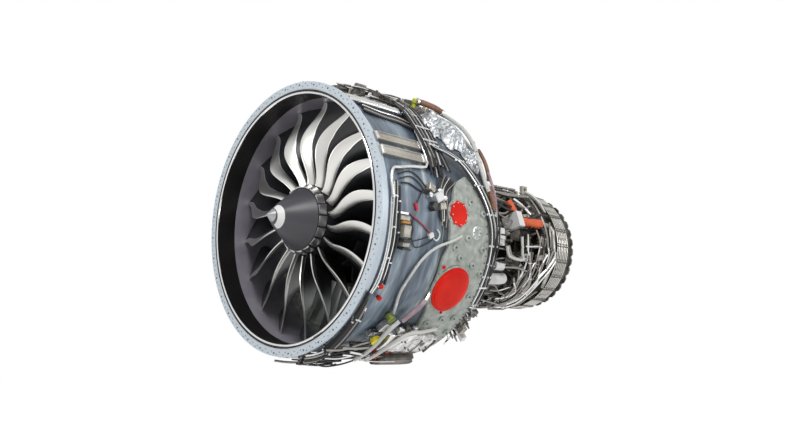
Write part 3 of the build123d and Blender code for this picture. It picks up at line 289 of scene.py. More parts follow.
camber = np.interp(lead_r, station_r, [0.020, 0.018, 0.016, 0.013, 0.009, 0.006])
sheath = np.interp(lead_r, station_r, [0.050, 0.062, 0.082, 0.084, 0.052, 0.022]) / chord
under_sheath = np.interp(lead_r, station_r, [0.040, 0.045, 0.050, 0.048, 0.036, 0.024]) / chord
step = 0.0065 / chord


def blade_side(along, side, lift):
    """Points of one side of a blade. Across the chord c the mean line is 4 camber c (1 - c) and the half
    thickness goes with sqrt(c) (1 - c); the section is turned by the stagger and wrapped on its radius."""
    half = thick[:, None] * 1.9 * np.sqrt(along) * (1 - along) + lift
    above = 4 * camber[:, None] * along * (1 - along) + side * half
    run = chord[:, None] * along
    turn = stagger[:, None]
    y = lead_y[:, None] + run * np.cos(turn) - above * np.sin(turn)
    arc = -(run * np.sin(turn) + above * np.cos(turn))
    angle = np.radians(lead_angle)[:, None] + arc / lead_r[:, None]
    return np.stack([lead_r[:, None] * np.cos(angle), y, lead_r[:, None] * np.sin(angle)], axis=-1)


def chord_shares(bare_share, bare_count, total):
    """Chord shares over the sheath, closer together at the leading edge, then its step, then the coat."""
    over = bare_share[:, None] * np.linspace(0, 1, bare_count + 1)[None, :] ** 1.6
    after = bare_share + step
    rest = after[:, None] + (1 - after[:, None]) * np.linspace(0, 1, total - bare_count - 1)[None, :]
    return np.concatenate([over, rest], axis=1)


suction = chord_shares(sheath, SHEATH_COLS, CHORD)
pressure = chord_shares(under_sheath, UNDER_COLS, CHORD - 6)[:, 1:-1]
one_blade = np.concatenate([
    blade_side(suction, 1, SHEATH_LIFT * (np.arange(suction.shape[1]) <= SHEATH_COLS)),
    blade_side(pressure, -1, SHEATH_LIFT * (np.arange(pressure.shape[1]) < UNDER_COLS))[:, ::-1],
], axis=1)
corners, faces, _ = shell(one_blade)
quads, ends = faces[0].reshape(SPAN - 1, -1, 4), faces[1:]
column_slot = np.zeros(quads.shape[1], dtype=int)
column_slot[:SHEATH_COLS] = 1
column_slot[-UNDER_COLS:] = 1
# The columns over the sheath's step take the brighter strip, a painted highlight of the step.
column_slot[[SHEATH_COLS, -UNDER_COLS - 1]] = 2
blade_shells = []
for k in range(BLADES):
    turn = math.radians(BLADE_STEP * k)
    spun = corners @ np.array([[math.cos(turn), 0, math.sin(turn)], [0, 1, 0],
                               [-math.sin(turn), 0, math.cos(turn)]])
    blade_shells.append((spun, quads, ends))
blade_coat = finish_of("dark polyurethane blade coat", "#17181B", 0.32, 0.0, **{"Specular IOR Level": 0.6})
sheath_metal = finish_of("satin titanium sheath", "#C9C8C4", 0.30, 1.0)
# A brighter strip over the sheath's step: a painted highlight where the step catches the light.
sheath_step_painted_highlight = finish_of("sheath edge with painted highlight", "#F2F2F0", 0.34, 1.0)
where = add_node(sheath_metal, "ShaderNodeTexCoord")
grain = add_node(sheath_metal, "ShaderNodeTexNoise",
                 {"Vector": where.outputs["Object"], "Scale": 160.0, "Detail": 2.0})
rough = add_node(sheath_metal, "ShaderNodeMapRange",
                 {"Value": grain.outputs["Fac"], "To Min": 0.24, "To Max": 0.42})
sheath_metal.node_tree.links.new(
    rough.outputs["Result"], sheath_metal.node_tree.nodes["Principled BSDF"].inputs["Roughness"],
)


def make_blades():
    """All blades as one mesh: the same faces on each, each column of faces with its own finish."""
    points, groups, slots = [], [], []
    for number, (spun, grid, tips) in enumerate(blade_shells):
        shift = number * len(spun)
        points.append(spun)
        groups.append(grid.reshape(-1, 4) + shift)
        slots.append(np.tile(column_slot, SPAN - 1))
        for tip in tips:
            groups.append(tip + shift)
            slots.append(np.zeros(1, dtype=int))
    return np.concatenate(points), groups, np.concatenate(slots)


points, groups, slots = make_blades()
blades = make_piece("fan_blades", [(points, groups, 0)], [blade_coat, sheath_metal, sheath_step_painted_highlight],
                    "fan", ["fan_blades"], 40)
blades.data.polygons.foreach_set("material_index", slots.astype(np.int32))
blades.data.update()

# Spinner: a filament-wound cone with dark grey satin paint, a bare silver tip and a white painted
# comma that shows when the fan turns.
spinner_grey = finish_of("dark grey satin spinner paint", "#3B3B41", 0.40)
spinner_tip = finish_of("turned aluminium tip", "#9A9B9D", 0.35, 0.8)
white_paint = finish_of("white enamel mark", "#E9E9E6", 0.4)
SPIN_TIP, SPIN_JOINT, SPIN_BASE, SPIN_R = -0.185, -0.130, 0.111, 0.230


def spinner_radius(y):
    """The cone's radius: nearly straight, with a little belly towards the base and a rounded tip."""
    s = (np.asarray(y) - SPIN_TIP) / (SPIN_BASE - SPIN_TIP)
    bellied = SPIN_R * (s + 0.055 * np.sin(np.pi * s))
    return bellied * (1 - np.exp(-np.maximum(s, 0) * 60)) + 0.004 * np.exp(-60 * s)


ys = SPIN_TIP + (SPIN_BASE - SPIN_TIP) * np.linspace(0, 1, 90) ** 1.5
cone = [(float(r), float(y)) for r, y in zip(spinner_radius(ys), ys)]
tip_rows = [p for p in cone if p[1] < SPIN_JOINT]
body_rows = [tip_rows[-1]] + [p for p in cone if p[1] >= SPIN_JOINT]


def cone_shell(rows, slot, around=120):
    """A solid of revolution from rows (radius, y), closed by a flat face at each end."""
    outline = np.array(rows)
    angle = np.linspace(0, 2 * np.pi, around, endpoint=False)[None, :]
    points = np.stack([
        outline[:, :1] * np.cos(angle), outline[:, 1:] + 0 * angle, outline[:, :1] * np.sin(angle),
    ], axis=-1)
    return shell(points, slot=slot)


def comma_shell():
    """The mark as a thin patch on the cone: its middle winds slowly outwards and its ends taper."""
    turn = np.linspace(0, 1, 60)[:, None]
    angle = np.radians(82 - 178 * turn)
    middle = 0.0655 + 0.014 * turn
    half = 0.0175 * (1 - 0.35 * (2 * turn - 1) ** 4)
    across = np.array([-1, -0.4, 0.4, 1, 1, 0.4, -0.4, -1])[None, :]
    lift = np.array([1, 1, 1, 1, 0, 0, 0, 0])[None, :] * 0.0009 - 0.0003
    want = middle + half * across
    y = np.interp(want, [p[0] for p in cone], [p[1] for p in cone])
    radius = want + lift
    return shell(np.stack([radius * np.cos(angle), y - lift, radius * np.sin(angle)], axis=-1), slot=2)


make_piece("spinner", [cone_shell(body_rows, 0), cone_shell(tip_rows, 1), comma_shell()],
           [spinner_grey, spinner_tip, white_paint], "fan", ["spinner"])

# Fan hub with the blade platforms: forged titanium, dark behind, with eighteen bright machined
# platform fillers between the blade roots.
hub_dark = finish_of("dark forged titanium", "#2A2A2D", 0.45, 0.7)
platform_metal = finish_of("machined titanium platforms", "#B9B9B8", 0.28, 1.0)
HUB_FRONT, HUB_BACK, HUB_R, HUB_SLOPE = 0.1113, 0.430, 0.240, 0.3075
PLATFORM_START = 141.7 - 11
hub_profile = [(0.0005, HUB_FRONT), (HUB_R, HUB_FRONT), (0.338, HUB_BACK), (0.0005, HUB_BACK)]


def platform_shell(angle):
    """One platform: a plate on the hub's cone between two blades, tilted a little about the engine axis."""
    y = np.linspace(0.1125, 0.166, 6)[:, None]
    across = np.radians(angle + np.array([-8.4, -4, 4, 8.4, 8.4, 4, -4, -8.4]))[None, :]
    tilt = 0.006 * np.array([-1, -0.5, 0.5, 1, 1, 0.5, -0.5, -1])[None, :]
    height = np.array([1, 1, 1, 1, 0, 0, 0, 0])[None, :]
    radius = HUB_R + (y - HUB_FRONT) * HUB_SLOPE + 0.0005 + height * (0.007 + tilt)
    return shell(np.stack([radius * np.cos(across), y + 0 * across, radius * np.sin(across)], axis=-1),
                 slot=1)


platforms = [platform_shell(PLATFORM_START + BLADE_STEP * k) for k in range(BLADES)]
make_piece("fan_hub", [turned(hub_profile, 120, 0)] + platforms, [hub_dark, platform_metal],
           "fan", ["fan_hub"])

# Fan exit case: one casting that carries on from the barrel. Its front is painted the barrel's dark
# blue-grey; the port side shows bare, pale grey-green cast aluminium with a wavy machined edge.
EXIT_R, EXIT_Y0, EXIT_Y1 = 0.986, 0.6453, 1.1603
cast_metal = finish_of("pale grey-green cast aluminium", "#A3A8A2", 0.50, 0.1)
mottle(cast_metal, [(0.28, "#868C85"), (0.50, "#9CA29B"), (0.74, "#B6BBB4")], 0.05)
exit_paint = finish_of("dark blue-grey enamel", "#3B434D", 0.36)
mottle(exit_paint, [(0.30, "#2C333C"), (0.55, "#434D58"), (0.75, "#5E6A76")], 0.20, (1, 2, 1))
PATCH_TURN = np.array([17, 14, 11, 5, -2, -12, -21, -30, -38, -48, -60, -75, -105])
PATCH_FRONT = np.array([0.885, 0.800, 0.752, 0.712, 0.690, 0.692, 0.668, 0.655, 0.665, 0.735, 0.790, 0.800,
                        0.830])
PATCH_BACK = np.array([0.900, 0.955, 1.005, 1.070, 1.105, 1.128, 1.145, 1.156, 1.158, 1.158, 1.158, 1.158,
                       1.158])


def cast_patch(low, high, slot=0):
    """The bare casting: a raised skin between the wavy front edge and the back edge, with rolled edges."""
    turn = np.linspace(17, -105, 180)[:, None]
    front = np.interp(-turn, -PATCH_TURN, PATCH_FRONT) + 0.006 * np.sin(np.radians(turn * 23))
    back = np.interp(-turn, -PATCH_TURN, PATCH_BACK) + 0.003 * np.sin(np.radians(turn * 31))
    share = np.array([0, 0, 0.010, 0.03, 0.35, 0.65, 0.97, 0.990, 1, 1])[None, :]
    lift = np.array([0, 0.6, 0.92, 1, 1, 1, 1, 0.92, 0.6, 0])[None, :]
    return shell(placed(front + (back - front) * share, turn, low + (high - low) * lift), slot=slot)


make_piece("exit_case", [
    turned([(0.955, EXIT_Y1), (0.930, EXIT_Y0), (EXIT_R, EXIT_Y0), (EXIT_R, 1.128), (1.008, 1.131),
            (1.008, EXIT_Y1)], slot=0),
    turned([(EXIT_R + 0.0004, 1.1275), (EXIT_R + 0.0004, EXIT_Y0), (EXIT_R - 0.004, EXIT_Y0 + 0.002)],
           slot=1),
    cast_patch(0.9866, 1.0090),
], [cast_metal, exit_paint], stands_for=["fan_exit_case"])

# Ports of the casting: the raised rings that hold the two covers, the bolts round them, the round
# inspection plug between them and the bolts along the casting's front and back edges.
machined = finish_of("machined aluminium", "#B9BDBB", 0.30, 0.9)
BIG_PORT, SMALL_PORT, PLUG = (0.832, -31.8), (0.775, -0.2), (0.981, -6.8)


def around_port(port, ring, count, radius, start=0.0):
    """Places on a circle of a radius round a port: y and angle for each, on the case of that radius."""
    turn = np.radians(start + np.arange(count) * 360 / count)
    return port[0] + ring * np.cos(turn), port[1] + np.degrees(ring * np.sin(turn) / radius)


def outward(angle):
    """The unit vector away from the engine axis at an angle in degrees."""
    return placed(0, angle, 1.0)


def ring_of(inner, outer, height, edge=0.003):
    """A flat ring with a broken outer edge, on the origin with its axis along z."""
    outline = np.array([(inner, 0), (outer, 0), (outer, height - edge), (outer - edge, height),
                        (inner, height)])
    turn = np.linspace(0, 2 * np.pi, 96, endpoint=False)[:, None]
    points = np.stack([outline[None, :, 0] * np.cos(turn), outline[None, :, 0] * np.sin(turn),
                       outline[None, :, 1] + 0 * turn], axis=-1)
    return shell(points, wrap=True)


def set_out(template, port, radius, slot=0):
    """A template stood on the case at a port (y, angle), its own x along the engine."""
    return spread(template, placed(port[0], port[1], radius), outward(port[1]), slot, (0, 1, 0))


def upright(y, angle, low, outline, sides=20, slot=0):
    """A turned post standing on the case."""
    return set_out(stud(outline, sides), (y, angle), low, slot)


hex_head = stud([(0.0075, 0), (0.0075, 0.005), (0.0062, 0.0065), (0.0034, 0.0066), (0.0034, 0.0105)], 6)
small_head = stud([(0.0050, 0), (0.0050, 0.0035), (0.0030, 0.0050)], 6)
washer = stud([(0.0120, -0.0004), (0.0120, 0.0012)], 14)
edge_turn = np.arange(12, -100, -3.1)
edge_y = np.interp(-edge_turn, -PATCH_TURN, PATCH_BACK) - 0.020
front_turn = np.arange(11, -58, -3.7)
front_y = np.interp(-front_turn, -PATCH_TURN, PATCH_FRONT) + 0.018
big_y, big_turn = around_port(BIG_PORT, 0.196, 22, 1.0)
small_y, small_turn = around_port(SMALL_PORT, 0.104, 14, 1.0)
plug_y, plug_turn = around_port(PLUG, 0.037, 8, 1.0)
# Cast bosses with a bolt in each, scattered between the two port covers and below them. The photo
# shows small raised dots there; how many there are and what each one holds is a guess.
BOSSES = [(0.905, 5.5), (1.040, 1.5), (0.880, -9.5), (1.060, -13.5), (0.760, -14.0), (0.830, -18.0),
          (0.985, -20.5), (1.095, -23.5), (1.075, -34.5), (0.930, -47.0), (1.050, -46.0), (1.100, -55.0),
          (0.800, -49.5), (0.960, -60.0)]
boss = stud([(0.027, -0.004), (0.027, 0.010), (0.022, 0.013), (0.001, 0.013)], 18)
boss_y, boss_turn = np.array(BOSSES).T
cast_bosses = [spread(boss, placed(boss_y, boss_turn, 1.0085), outward(boss_turn), 0),
               spread(hex_head, placed(boss_y, boss_turn, 1.0212), outward(boss_turn), 2)]
make_piece("casting_ports", [
    set_out(ring_of(0.150, 0.184, 0.013), BIG_PORT, 1.0010),
    set_out(ring_of(0.080, 0.112, 0.012), SMALL_PORT, 0.9930),
    set_out(stud([(0.050, 0), (0.050, 0.008), (0.046, 0.010), (0.028, 0.010), (0.026, 0.006), (0.001, 0.006)],
                 40),
            PLUG, 1.0020, 1),
    spread(washer, placed(edge_y, edge_turn, 1.0030), outward(edge_turn), 1),
    spread(hex_head, placed(edge_y, edge_turn, 1.0040), outward(edge_turn), 2),
    spread(small_head, placed(front_y, front_turn, 1.0028), outward(front_turn), 2),
    spread(small_head, placed(big_y, big_turn, 1.0028), outward(big_turn), 2),
    spread(small_head, placed(small_y, small_turn, 1.0050), outward(small_turn), 2),
    spread(small_head, placed(plug_y, plug_turn, 1.0110), outward(plug_turn), 2),
] + cast_bosses, [cast_metal, machined, dark_bolt])

# Covers of the ports: a domed red plastic cap with a rim and a step pushed on the big port, and a flat
# red cover with eight screws in its scalloped edge on the small one.
red_plastic = finish_of("red moulded plastic cover", "#980A04", 0.40, **{"Specular IOR Level": 0.1})
mottle(red_plastic, [(0.35, "#D11D12"), (0.65, "#E62C1D")], 0.25)
cap_outline = [(0.176, 0.0004), (0.176, 0.010), (0.1735, 0.0125), (0.163, 0.0135), (0.161, 0.0145),
               (0.159, 0.0215), (0.154, 0.0245), (0.120, 0.0270), (0.060, 0.0288), (0.001, 0.0292)]
make_piece("large_port_cap_red", [
    set_out(stud(cap_outline, 96), BIG_PORT, 1.0143),
    upright(0.690, -22.6, 1.005, [(0.013, 0.001), (0.013, 0.014), (0.010, 0.017)], 14),
    upright(0.872, -43.4, 1.005, [(0.011, 0.001), (0.011, 0.012), (0.008, 0.015)], 14),
], [red_plastic], "port_cap", ["large_port_cap"])
screw_y, screw_turn = around_port(SMALL_PORT, 0.079, 8, 1.0, 10)
lobe_y, lobe_turn = around_port(SMALL_PORT, 0.081, 8, 1.0, 10)
make_piece("small_port_cover_red", [
    set_out(stud([(0.0865, 0), (0.0865, 0.009), (0.083, 0.0115), (0.001, 0.0118)], 64), SMALL_PORT, 1.0043),
    spread(stud([(0.016, 0), (0.016, 0.009), (0.013, 0.0112)], 16), placed(lobe_y, lobe_turn, 1.0043),
           outward(lobe_turn)),
    spread(stud([(0.0052, 0), (0.0052, 0.004)], 6), placed(screw_y, screw_turn, 1.0150), outward(screw_turn),
           1),
], [red_plastic, machined], stands_for=["small_port_cover"])

# Tubes, hoses and cables. Steel and titanium tubes are bent with even radii, hoses are black rubber or
# braid; both follow stations on the case, and metal clamps hold them to it every so often.


def eased(stations, steps=10):
    """A smooth run through stations (y, angle, radius). Between b and c a Catmull-Rom curve is half of
    2 b + (c - a) t + (2 a - 5 b + 4 c - d) t^2 + (3 b - a - 3 c + d) t^3."""
    p = np.array(stations, dtype=float)
    p = np.vstack([2 * p[0] - p[1], p, 2 * p[-1] - p[-2]])
    t = np.linspace(0, 1, steps, endpoint=False)[None, :, None]
    a, b, c, d = (p[k:len(p) - 3 + k, None, :] for k in range(4))
    square, cube = 2 * a - 5 * b + 4 * c - d, 3 * b - a - 3 * c + d
    run = 0.5 * (2 * b + (c - a) * t + square * t ** 2 + cube * t ** 3)
    run = np.vstack([run.reshape(-1, 3), p[-2:-1]])
    return placed(run[:, 0], run[:, 1], run[:, 2])


def hose(run, radius, sides=8, slot=0, flat=1.0):
    """A closed tube along a run. Its rings stand square to the run; flat is its height over its width."""
    ahead = np.gradient(run, axis=0)
    ahead = ahead / np.linalg.norm(ahead, axis=1, keepdims=True)
    side = np.cross(ahead, run * [1, 0, 1])
    side = side / np.linalg.norm(side, axis=1, keepdims=True)
    rise = np.cross(side, ahead)
    turn = np.linspace(0, 2 * np.pi, sides, endpoint=False)[None, :, None]
    points = run[:, None] + radius * (np.cos(turn) * side[:, None] + flat * np.sin(turn) * rise[:, None])
    return shell(points, slot=slot)


def part_run(run, start, stop, count=3):
    """The piece of a run between two lengths along it, in metres."""
    length = np.concatenate([[0], np.cumsum(np.linalg.norm(np.diff(run, axis=0), axis=1))])
    want = np.linspace(max(start, 0), min(stop, length[-1]), count)
    return np.stack([np.interp(want, length, run[:, k]) for k in range(3)], axis=-1)


def clamps(run, radius, every, slot=1, width=0.014, start=0.5):
    """Collars round a run, the first at a share of the spacing."""
    total = np.linalg.norm(np.diff(run, axis=0), axis=1).sum()
    return [hose(part_run(run, at, at + width), radius * 1.22, 10, slot)
            for at in np.arange(every * start, total - width, every)]


# Small units on the barrel stand at this radius, within 2 mm of its skin.
BARREL_SEAT = 0.9755


def pipe(stations, radius, sides=8, slot=0):
    """A hose along the smooth run through some stations."""
    return hose(eased(stations), radius, sides, slot)


def clamped(run, radius, sides, slot, every, width=0.012):
    """A hose along a run, with its clamps."""
    return [hose(run, radius, sides, slot)] + clamps(run, radius, every, CLAMP, width)


def block(y, angle, radius, size, tilt=0.0, slot=0, bevel=0.10):
    """A box with broken top edges on the case: its size goes along y, round the case and outwards, and it
    is turned by a tilt in degrees about its own outward axis."""
    half = np.array([[-1, -1], [1, -1], [1, 1], [-1, 1]]) * [size[0] / 2, size[1] / 2]
    cut = bevel * min(size)
    top = half - np.sign(half) * cut
    rows = [np.column_stack([half, np.zeros(4)]), np.column_stack([half, np.full(4, size[2] - cut)]),
            np.column_stack([top, np.full(4, size[2])])]
    turn = math.radians(tilt)
    rows = np.stack(rows) @ np.array([[math.cos(turn), math.sin(turn), 0],
                                      [-math.sin(turn), math.cos(turn), 0], [0, 0, 1]])
    return set_out(shell(rows), (y, angle), radius, slot)


bright_tube = finish_of("bright stainless tube", "#D2D3D2", 0.26, 1.0)
dull_tube = finish_of("heat-tinted grey tube", "#8F8B86", 0.38, 0.9)
black_hose = finish_of("black braided hose", "#17171A", 0.55)
pale_tube = finish_of("pale grey painted tube", "#CBCCC8", 0.40)
clamp_metal = finish_of("zinc-plated clamps", "#C9CACA", 0.30, 0.85)
where = add_node(black_hose, "ShaderNodeTexCoord")
weave = add_node(black_hose, "ShaderNodeTexNoise",
                 {"Vector": where.outputs["Object"], "Scale": 420.0, "Detail": 1.0})
dent = add_node(black_hose, "ShaderNodeBump",
                {"Height": weave.outputs["Fac"], "Distance": 0.0008, "Strength": 0.5})
black_hose.node_tree.links.new(dent.outputs["Normal"],
                               black_hose.node_tree.nodes["Principled BSDF"].inputs["Normal"])
TUBE_FINISHES = [bright_tube, black_hose, clamp_metal, pale_tube, dull_tube]
BRIGHT, BLACK, CLAMP, PALE, DULL = range(5)

# Drain and sense lines on the barrel's port side: the stepped bright tube below the harness, the strip of
# five lines behind the flange, the long pale tube, and the thin leads with their red streamer.
snake = eased([(y, angle, 0.992) for y, angle in (
    (0.581, 46.2), (0.568, 40), (0.537, 30.5), (0.532, 24.6), (0.525, 20.6), (0.500, 18.2), (0.470, 17.6),
    (0.340, 16.6), (0.221, 15.1), (0.165, 14.4), (0.138, 12.4), (0.121, 8.2), (0.127, 1.8))])
strip = [
    (0.0085, BRIGHT, [(0.150, 8.5), (0.128, -4.7), (0.132, -15.2), (0.134, -23.0), (0.139, -31.6),
                      (0.121, -37.1)]),
    (0.0090, BLACK, [(0.168, 9.0), (0.146, -4.7), (0.151, -15.2), (0.153, -23.0), (0.158, -31.6),
                     (0.146, -35.1)]),
    (0.0070, BRIGHT, [(0.180, 9.0), (0.163, -4.7), (0.170, -15.2), (0.168, -23.0), (0.172, -27.6),
                      (0.168, -31.1)]),
    (0.0090, BLACK, [(0.196, 7.1), (0.190, -3.5), (0.200, -14.8), (0.184, -21.4), (0.192, -28.0),
                     (0.201, -32.8)]),
    (0.0060, BRIGHT, [(0.121, 6.0), (0.112, -4.0), (0.115, -14.0), (0.120, -24.0), (0.116, -33.0),
                      (0.095, -40.0)]),
]
long_tube = eased([(0.421, -45.8, 0.998), (0.378, -35.4, 0.992), (0.422, -26.0, 0.992), (0.480, -20.3, 0.992),
                   (0.574, -15.4, 0.998), (0.730, -11.4, 1.012), (0.806, -9.1, 1.018)])
leads = [
    (0.0046, [(0.205, 12.4), (0.321, 14.5), (0.400, 12.9), (0.462, 9.3), (0.517, 8.4)]),
    (0.0046, [(0.215, 10.5), (0.315, 12.2), (0.390, 10.6), (0.450, 7.3), (0.515, 6.6)]),
    (0.0060, [(0.222, 8.8), (0.300, 9.0), (0.380, 7.4), (0.450, 6.6), (0.517, 7.0)]),
    (0.0046, [(0.356, -1.0), (0.368, 2.0), (0.430, 6.8), (0.500, 9.0)]),
    (0.0040, [(0.290, -7.1), (0.325, -12.0), (0.386, -16.3), (0.506, -13.9), (0.543, -11.9)]),
    (0.0040, [(0.300, -6.0), (0.335, -9.0), (0.330, -13.8), (0.415, -13.0), (0.495, -11.4)]),
    (0.0040, [(0.330, -5.0), (0.318, -9.0), (0.322, -13.0), (0.300, -15.8)]),
]
lines = [hose(snake, 0.0125, 12, BRIGHT), hose(long_tube, 0.0100, 10, PALE)]
lines += clamps(long_tube, 0.0085, 0.16, CLAMP) + clamps(snake, 0.0125, 0.30, CLAMP)
for radius, slot, stations in strip:
    run = eased([(y, angle, 0.975 + radius + 0.004) for y, angle in stations])
    lines += clamped(run, radius, 8, slot, 0.21, 0.010)
for radius, stations in leads:
    lines.append(pipe([(y, angle, 0.984) for y, angle in stations], radius, 6, BLACK))
make_piece("barrel_lines", lines, TUBE_FINISHES)

streamer_red = finish_of("red woven streamer", "#C4202B", 0.6)
streamer_pink = finish_of("faded red sleeve", "#9A4B55", 0.55)
white_fitting = finish_of("white nylon fitting", "#E4E4E0", 0.4)
make_piece("streamer_and_hook", [
    pipe([(0.300, -3.4, 0.984), (0.327, -4.2, 0.984), (0.406, -6.3, 0.984), (0.499, -9.2, 0.984)],
         0.0062, 8, 0),
    block(0.356, -0.1, 0.977, (0.020, 0.052, 0.012), 20, 1),
    block(0.516, -10.8, 0.977, (0.044, 0.034, 0.022), 30, 2),
    pipe([(0.575, -7.9, 0.986), (0.600, -9.2, 0.988), (0.602, -11.0, 0.988), (0.580, -12.4, 0.986),
          (0.545, -11.6, 0.984)], 0.0052, 8, 2),
], [streamer_pink, streamer_red, white_fitting])

# Small units on the barrel: two red protective caps, each on its connector, a grey solenoid valve with its
# black clamp bands, and the silver-brown valve block in front of the casting.
unit_grey = finish_of("warm grey anodised unit", "#A29D93", 0.42, 0.5)
mottle(unit_grey, [(0.35, "#8A857B"), (0.65, "#B6B1A7")], 0.05)
unit_dark = finish_of("dark painted unit", "#2B2B2D", 0.45)
amber_band = finish_of("amber marking band", "#B5813C", 0.45)
ball = stud([(0.001, -0.002), (0.013, 0.000), (0.018, 0.006), (0.019, 0.013), (0.016, 0.021), (0.009, 0.026),
             (0.001, 0.027)], 16)
make_piece("barrel_units", [
    set_out(ball, (0.170, -33.6), 0.985, 3),
    set_out(ball, (0.205, -38.8), 0.985, 3),
    upright(0.170, -33.6, 0.975, [(0.012, 0), (0.012, 0.012)], 12, 1),
    upright(0.205, -38.8, 0.975, [(0.012, 0), (0.012, 0.012)], 12, 1),
    block(0.236, -5.6, BARREL_SEAT, (0.085, 0.030, 0.030), 0, 0),
    block(0.240, -7.2, BARREL_SEAT, (0.070, 0.018, 0.042), 0, 2),
    block(0.248, -10.6, BARREL_SEAT, (0.066, 0.084, 0.052), 0, 0),
    block(0.252, -14.0, BARREL_SEAT, (0.074, 0.016, 0.058), 0, 1),
    block(0.256, -15.6, BARREL_SEAT, (0.062, 0.030, 0.050), 0, 0),
    block(0.259, -17.3, BARREL_SEAT, (0.078, 0.014, 0.058), 0, 1),
    block(0.225, -3.5, BARREL_SEAT, (0.110, 0.016, 0.012), 0, 4),
    block(0.545, 4.8, BARREL_SEAT, (0.085, 0.070, 0.070), 25, 4),
    block(0.500, 8.6, BARREL_SEAT, (0.060, 0.050, 0.045), -20, 0),
    block(0.590, 1.6, BARREL_SEAT, (0.060, 0.050, 0.055), 10, 0),
    block(0.512, 1.2, BARREL_SEAT, (0.040, 0.060, 0.050), -35, 1),
    upright(0.560, 7.2, BARREL_SEAT, [(0.022, 0), (0.022, 0.060), (0.017, 0.064), (0.010, 0.078)], 18, 4),
    upright(0.617, 5.0, BARREL_SEAT, [(0.018, 0), (0.018, 0.050), (0.012, 0.058)], 18, 5),
    upright(0.478, 5.4, BARREL_SEAT, [(0.020, 0), (0.020, 0.044), (0.012, 0.050)], 18, 5),
], [unit_grey, unit_dark, amber_band, red_plastic, clamp_metal, bright_tube], stands_for=["valve_block"])

# Rails: two extruded aluminium channels beside the barrel's top, with their end feet and rivets. They
# are anodised beige grey, and each has a raised edge along either side.
rail_metal = finish_of("beige-grey anodised extrusion", "#A9A49B", 0.35, 0.7)
mottle(rail_metal, [(0.35, "#99948B"), (0.65, "#BDB8AE")], 0.12, (1, 0.3, 1))
rails = []
for angle, first, last in ((28.6, 0.078, 0.515), (21.8, 0.086, 0.505)):
    middle, length = (first + last) / 2, last - first
    rivet_y = np.linspace(first + 0.02, last - 0.02, 9)
    rails += [block(middle, angle, BARREL_SEAT, (length, 0.074, 0.020), 0, 0, 0.06)]
    rails += [block(middle, angle + side, 0.9954, (length - 0.01, 0.008, 0.0060)) for side in (-1.9, 1.9)]
    rails += [block(y, angle, 0.9956, (0.022, 0.058, 0.006), 0, 1) for y in (first + 0.012, last - 0.012)]
    rails.append(spread(small_head, placed(rivet_y, angle, 0.9954), outward(angle), 1))
make_piece("rails", rails, [rail_metal, clamp_metal], stands_for=["case_rails"])

# Harness over the top of the barrel: two fat conduits that run aft along the barrel's shoulder, six cables
# side by side below them, and a thick bundle of hoses that comes down between barrel and casting.
harness = []
for angle, radius, slot in ((55.0, 0.019, PALE), (52.2, 0.017, BRIGHT)):
    run = eased([(0.040, angle - 1.0, 1.002), (0.180, angle, 1.000), (0.420, angle - 0.5, 1.000),
                 (0.590, angle - 2.5, 1.004)])
    harness += clamped(run, radius, 12, slot, 0.19)
for k in range(6):
    angle = 43.0 + 1.35 * k
    run = eased([(0.13 + 0.01 * k, angle + 2, 0.986), (0.30, angle, 0.984), (0.45, angle - 1.0, 0.986),
                 (0.60, angle - 5.0, 0.992)])
    harness.append(hose(run, 0.0085, 7, (BLACK, DULL, BLACK, BLACK, BRIGHT, BLACK)[k]))
for k in range(14):
    row, place = divmod(k, 7)
    shift = 0.0185 * (place - 3) + rng.uniform(-0.003, 0.003)
    lift = 0.016 * row + rng.uniform(0, 0.004)
    run = eased([
        (0.560 + shift, 74 + rng.uniform(-3, 3), 1.030 + lift), (0.600 + shift, 58, 1.020 + lift),
        (0.622 + shift, 46, 0.998 + lift), (0.628 + shift, 36, 0.992 + lift),
        (0.612 + shift, 26, 0.990 + lift),
        (0.596 + 1.2 * shift, 18 + rng.uniform(-4, 2), 0.990 + lift),
    ])
    slot = BRIGHT if k in (3, 12) else (DULL if k == 8 else BLACK)
    harness.append(hose(run, 0.0080 if slot == BLACK else 0.0065, 7, slot))
for at in (66, 49, 39, 31):
    harness.append(block(0.612, at, 1.022 + (0.012 if at > 60 else 0), (0.150, 0.016, 0.010), 0, CLAMP))
for k in range(9):
    shift = 0.020 * k
    run = eased([
        (0.640 + shift, 17 - 0.5 * k, 0.998), (0.600 + 0.5 * shift, 11 - 0.4 * k, 0.992),
        (0.585 + 0.6 * shift, 5 - 0.3 * k, 0.990), (0.600 + 0.4 * shift, -3 - rng.uniform(0, 5), 0.990),
    ])
    harness.append(hose(run, 0.0058, 6, (BLACK, BLACK, DULL, BLACK, BRIGHT)[k % 5]))
for k in range(11):
    d = 0.0155 * (k - 5) + rng.uniform(-0.003, 0.003)
    lift = rng.uniform(0.0, 0.010)
    run = eased([
        (0.700 + 1.2 * d, 64 - 0.4 * k, 1.034 + lift), (0.650 + 1.3 * d, 52, 1.026 + lift),
        (0.612 + 1.2 * d, 40.5, 1.016 + lift), (0.606 + 1.1 * d, 31.0, 1.010 + lift),
        (0.618 + 1.2 * d, 25.0, 1.004 + lift), (0.640 + 1.4 * d, 21.5 - 0.8 * abs(k - 5), 0.996 + lift),
    ])
    harness.append(hose(run, 0.0058, 7, (BLACK, BLACK, BRIGHT, BLACK, DULL)[k % 5]))
make_piece("top_harness", harness, TUBE_FINISHES, stands_for=["case_ducts"])

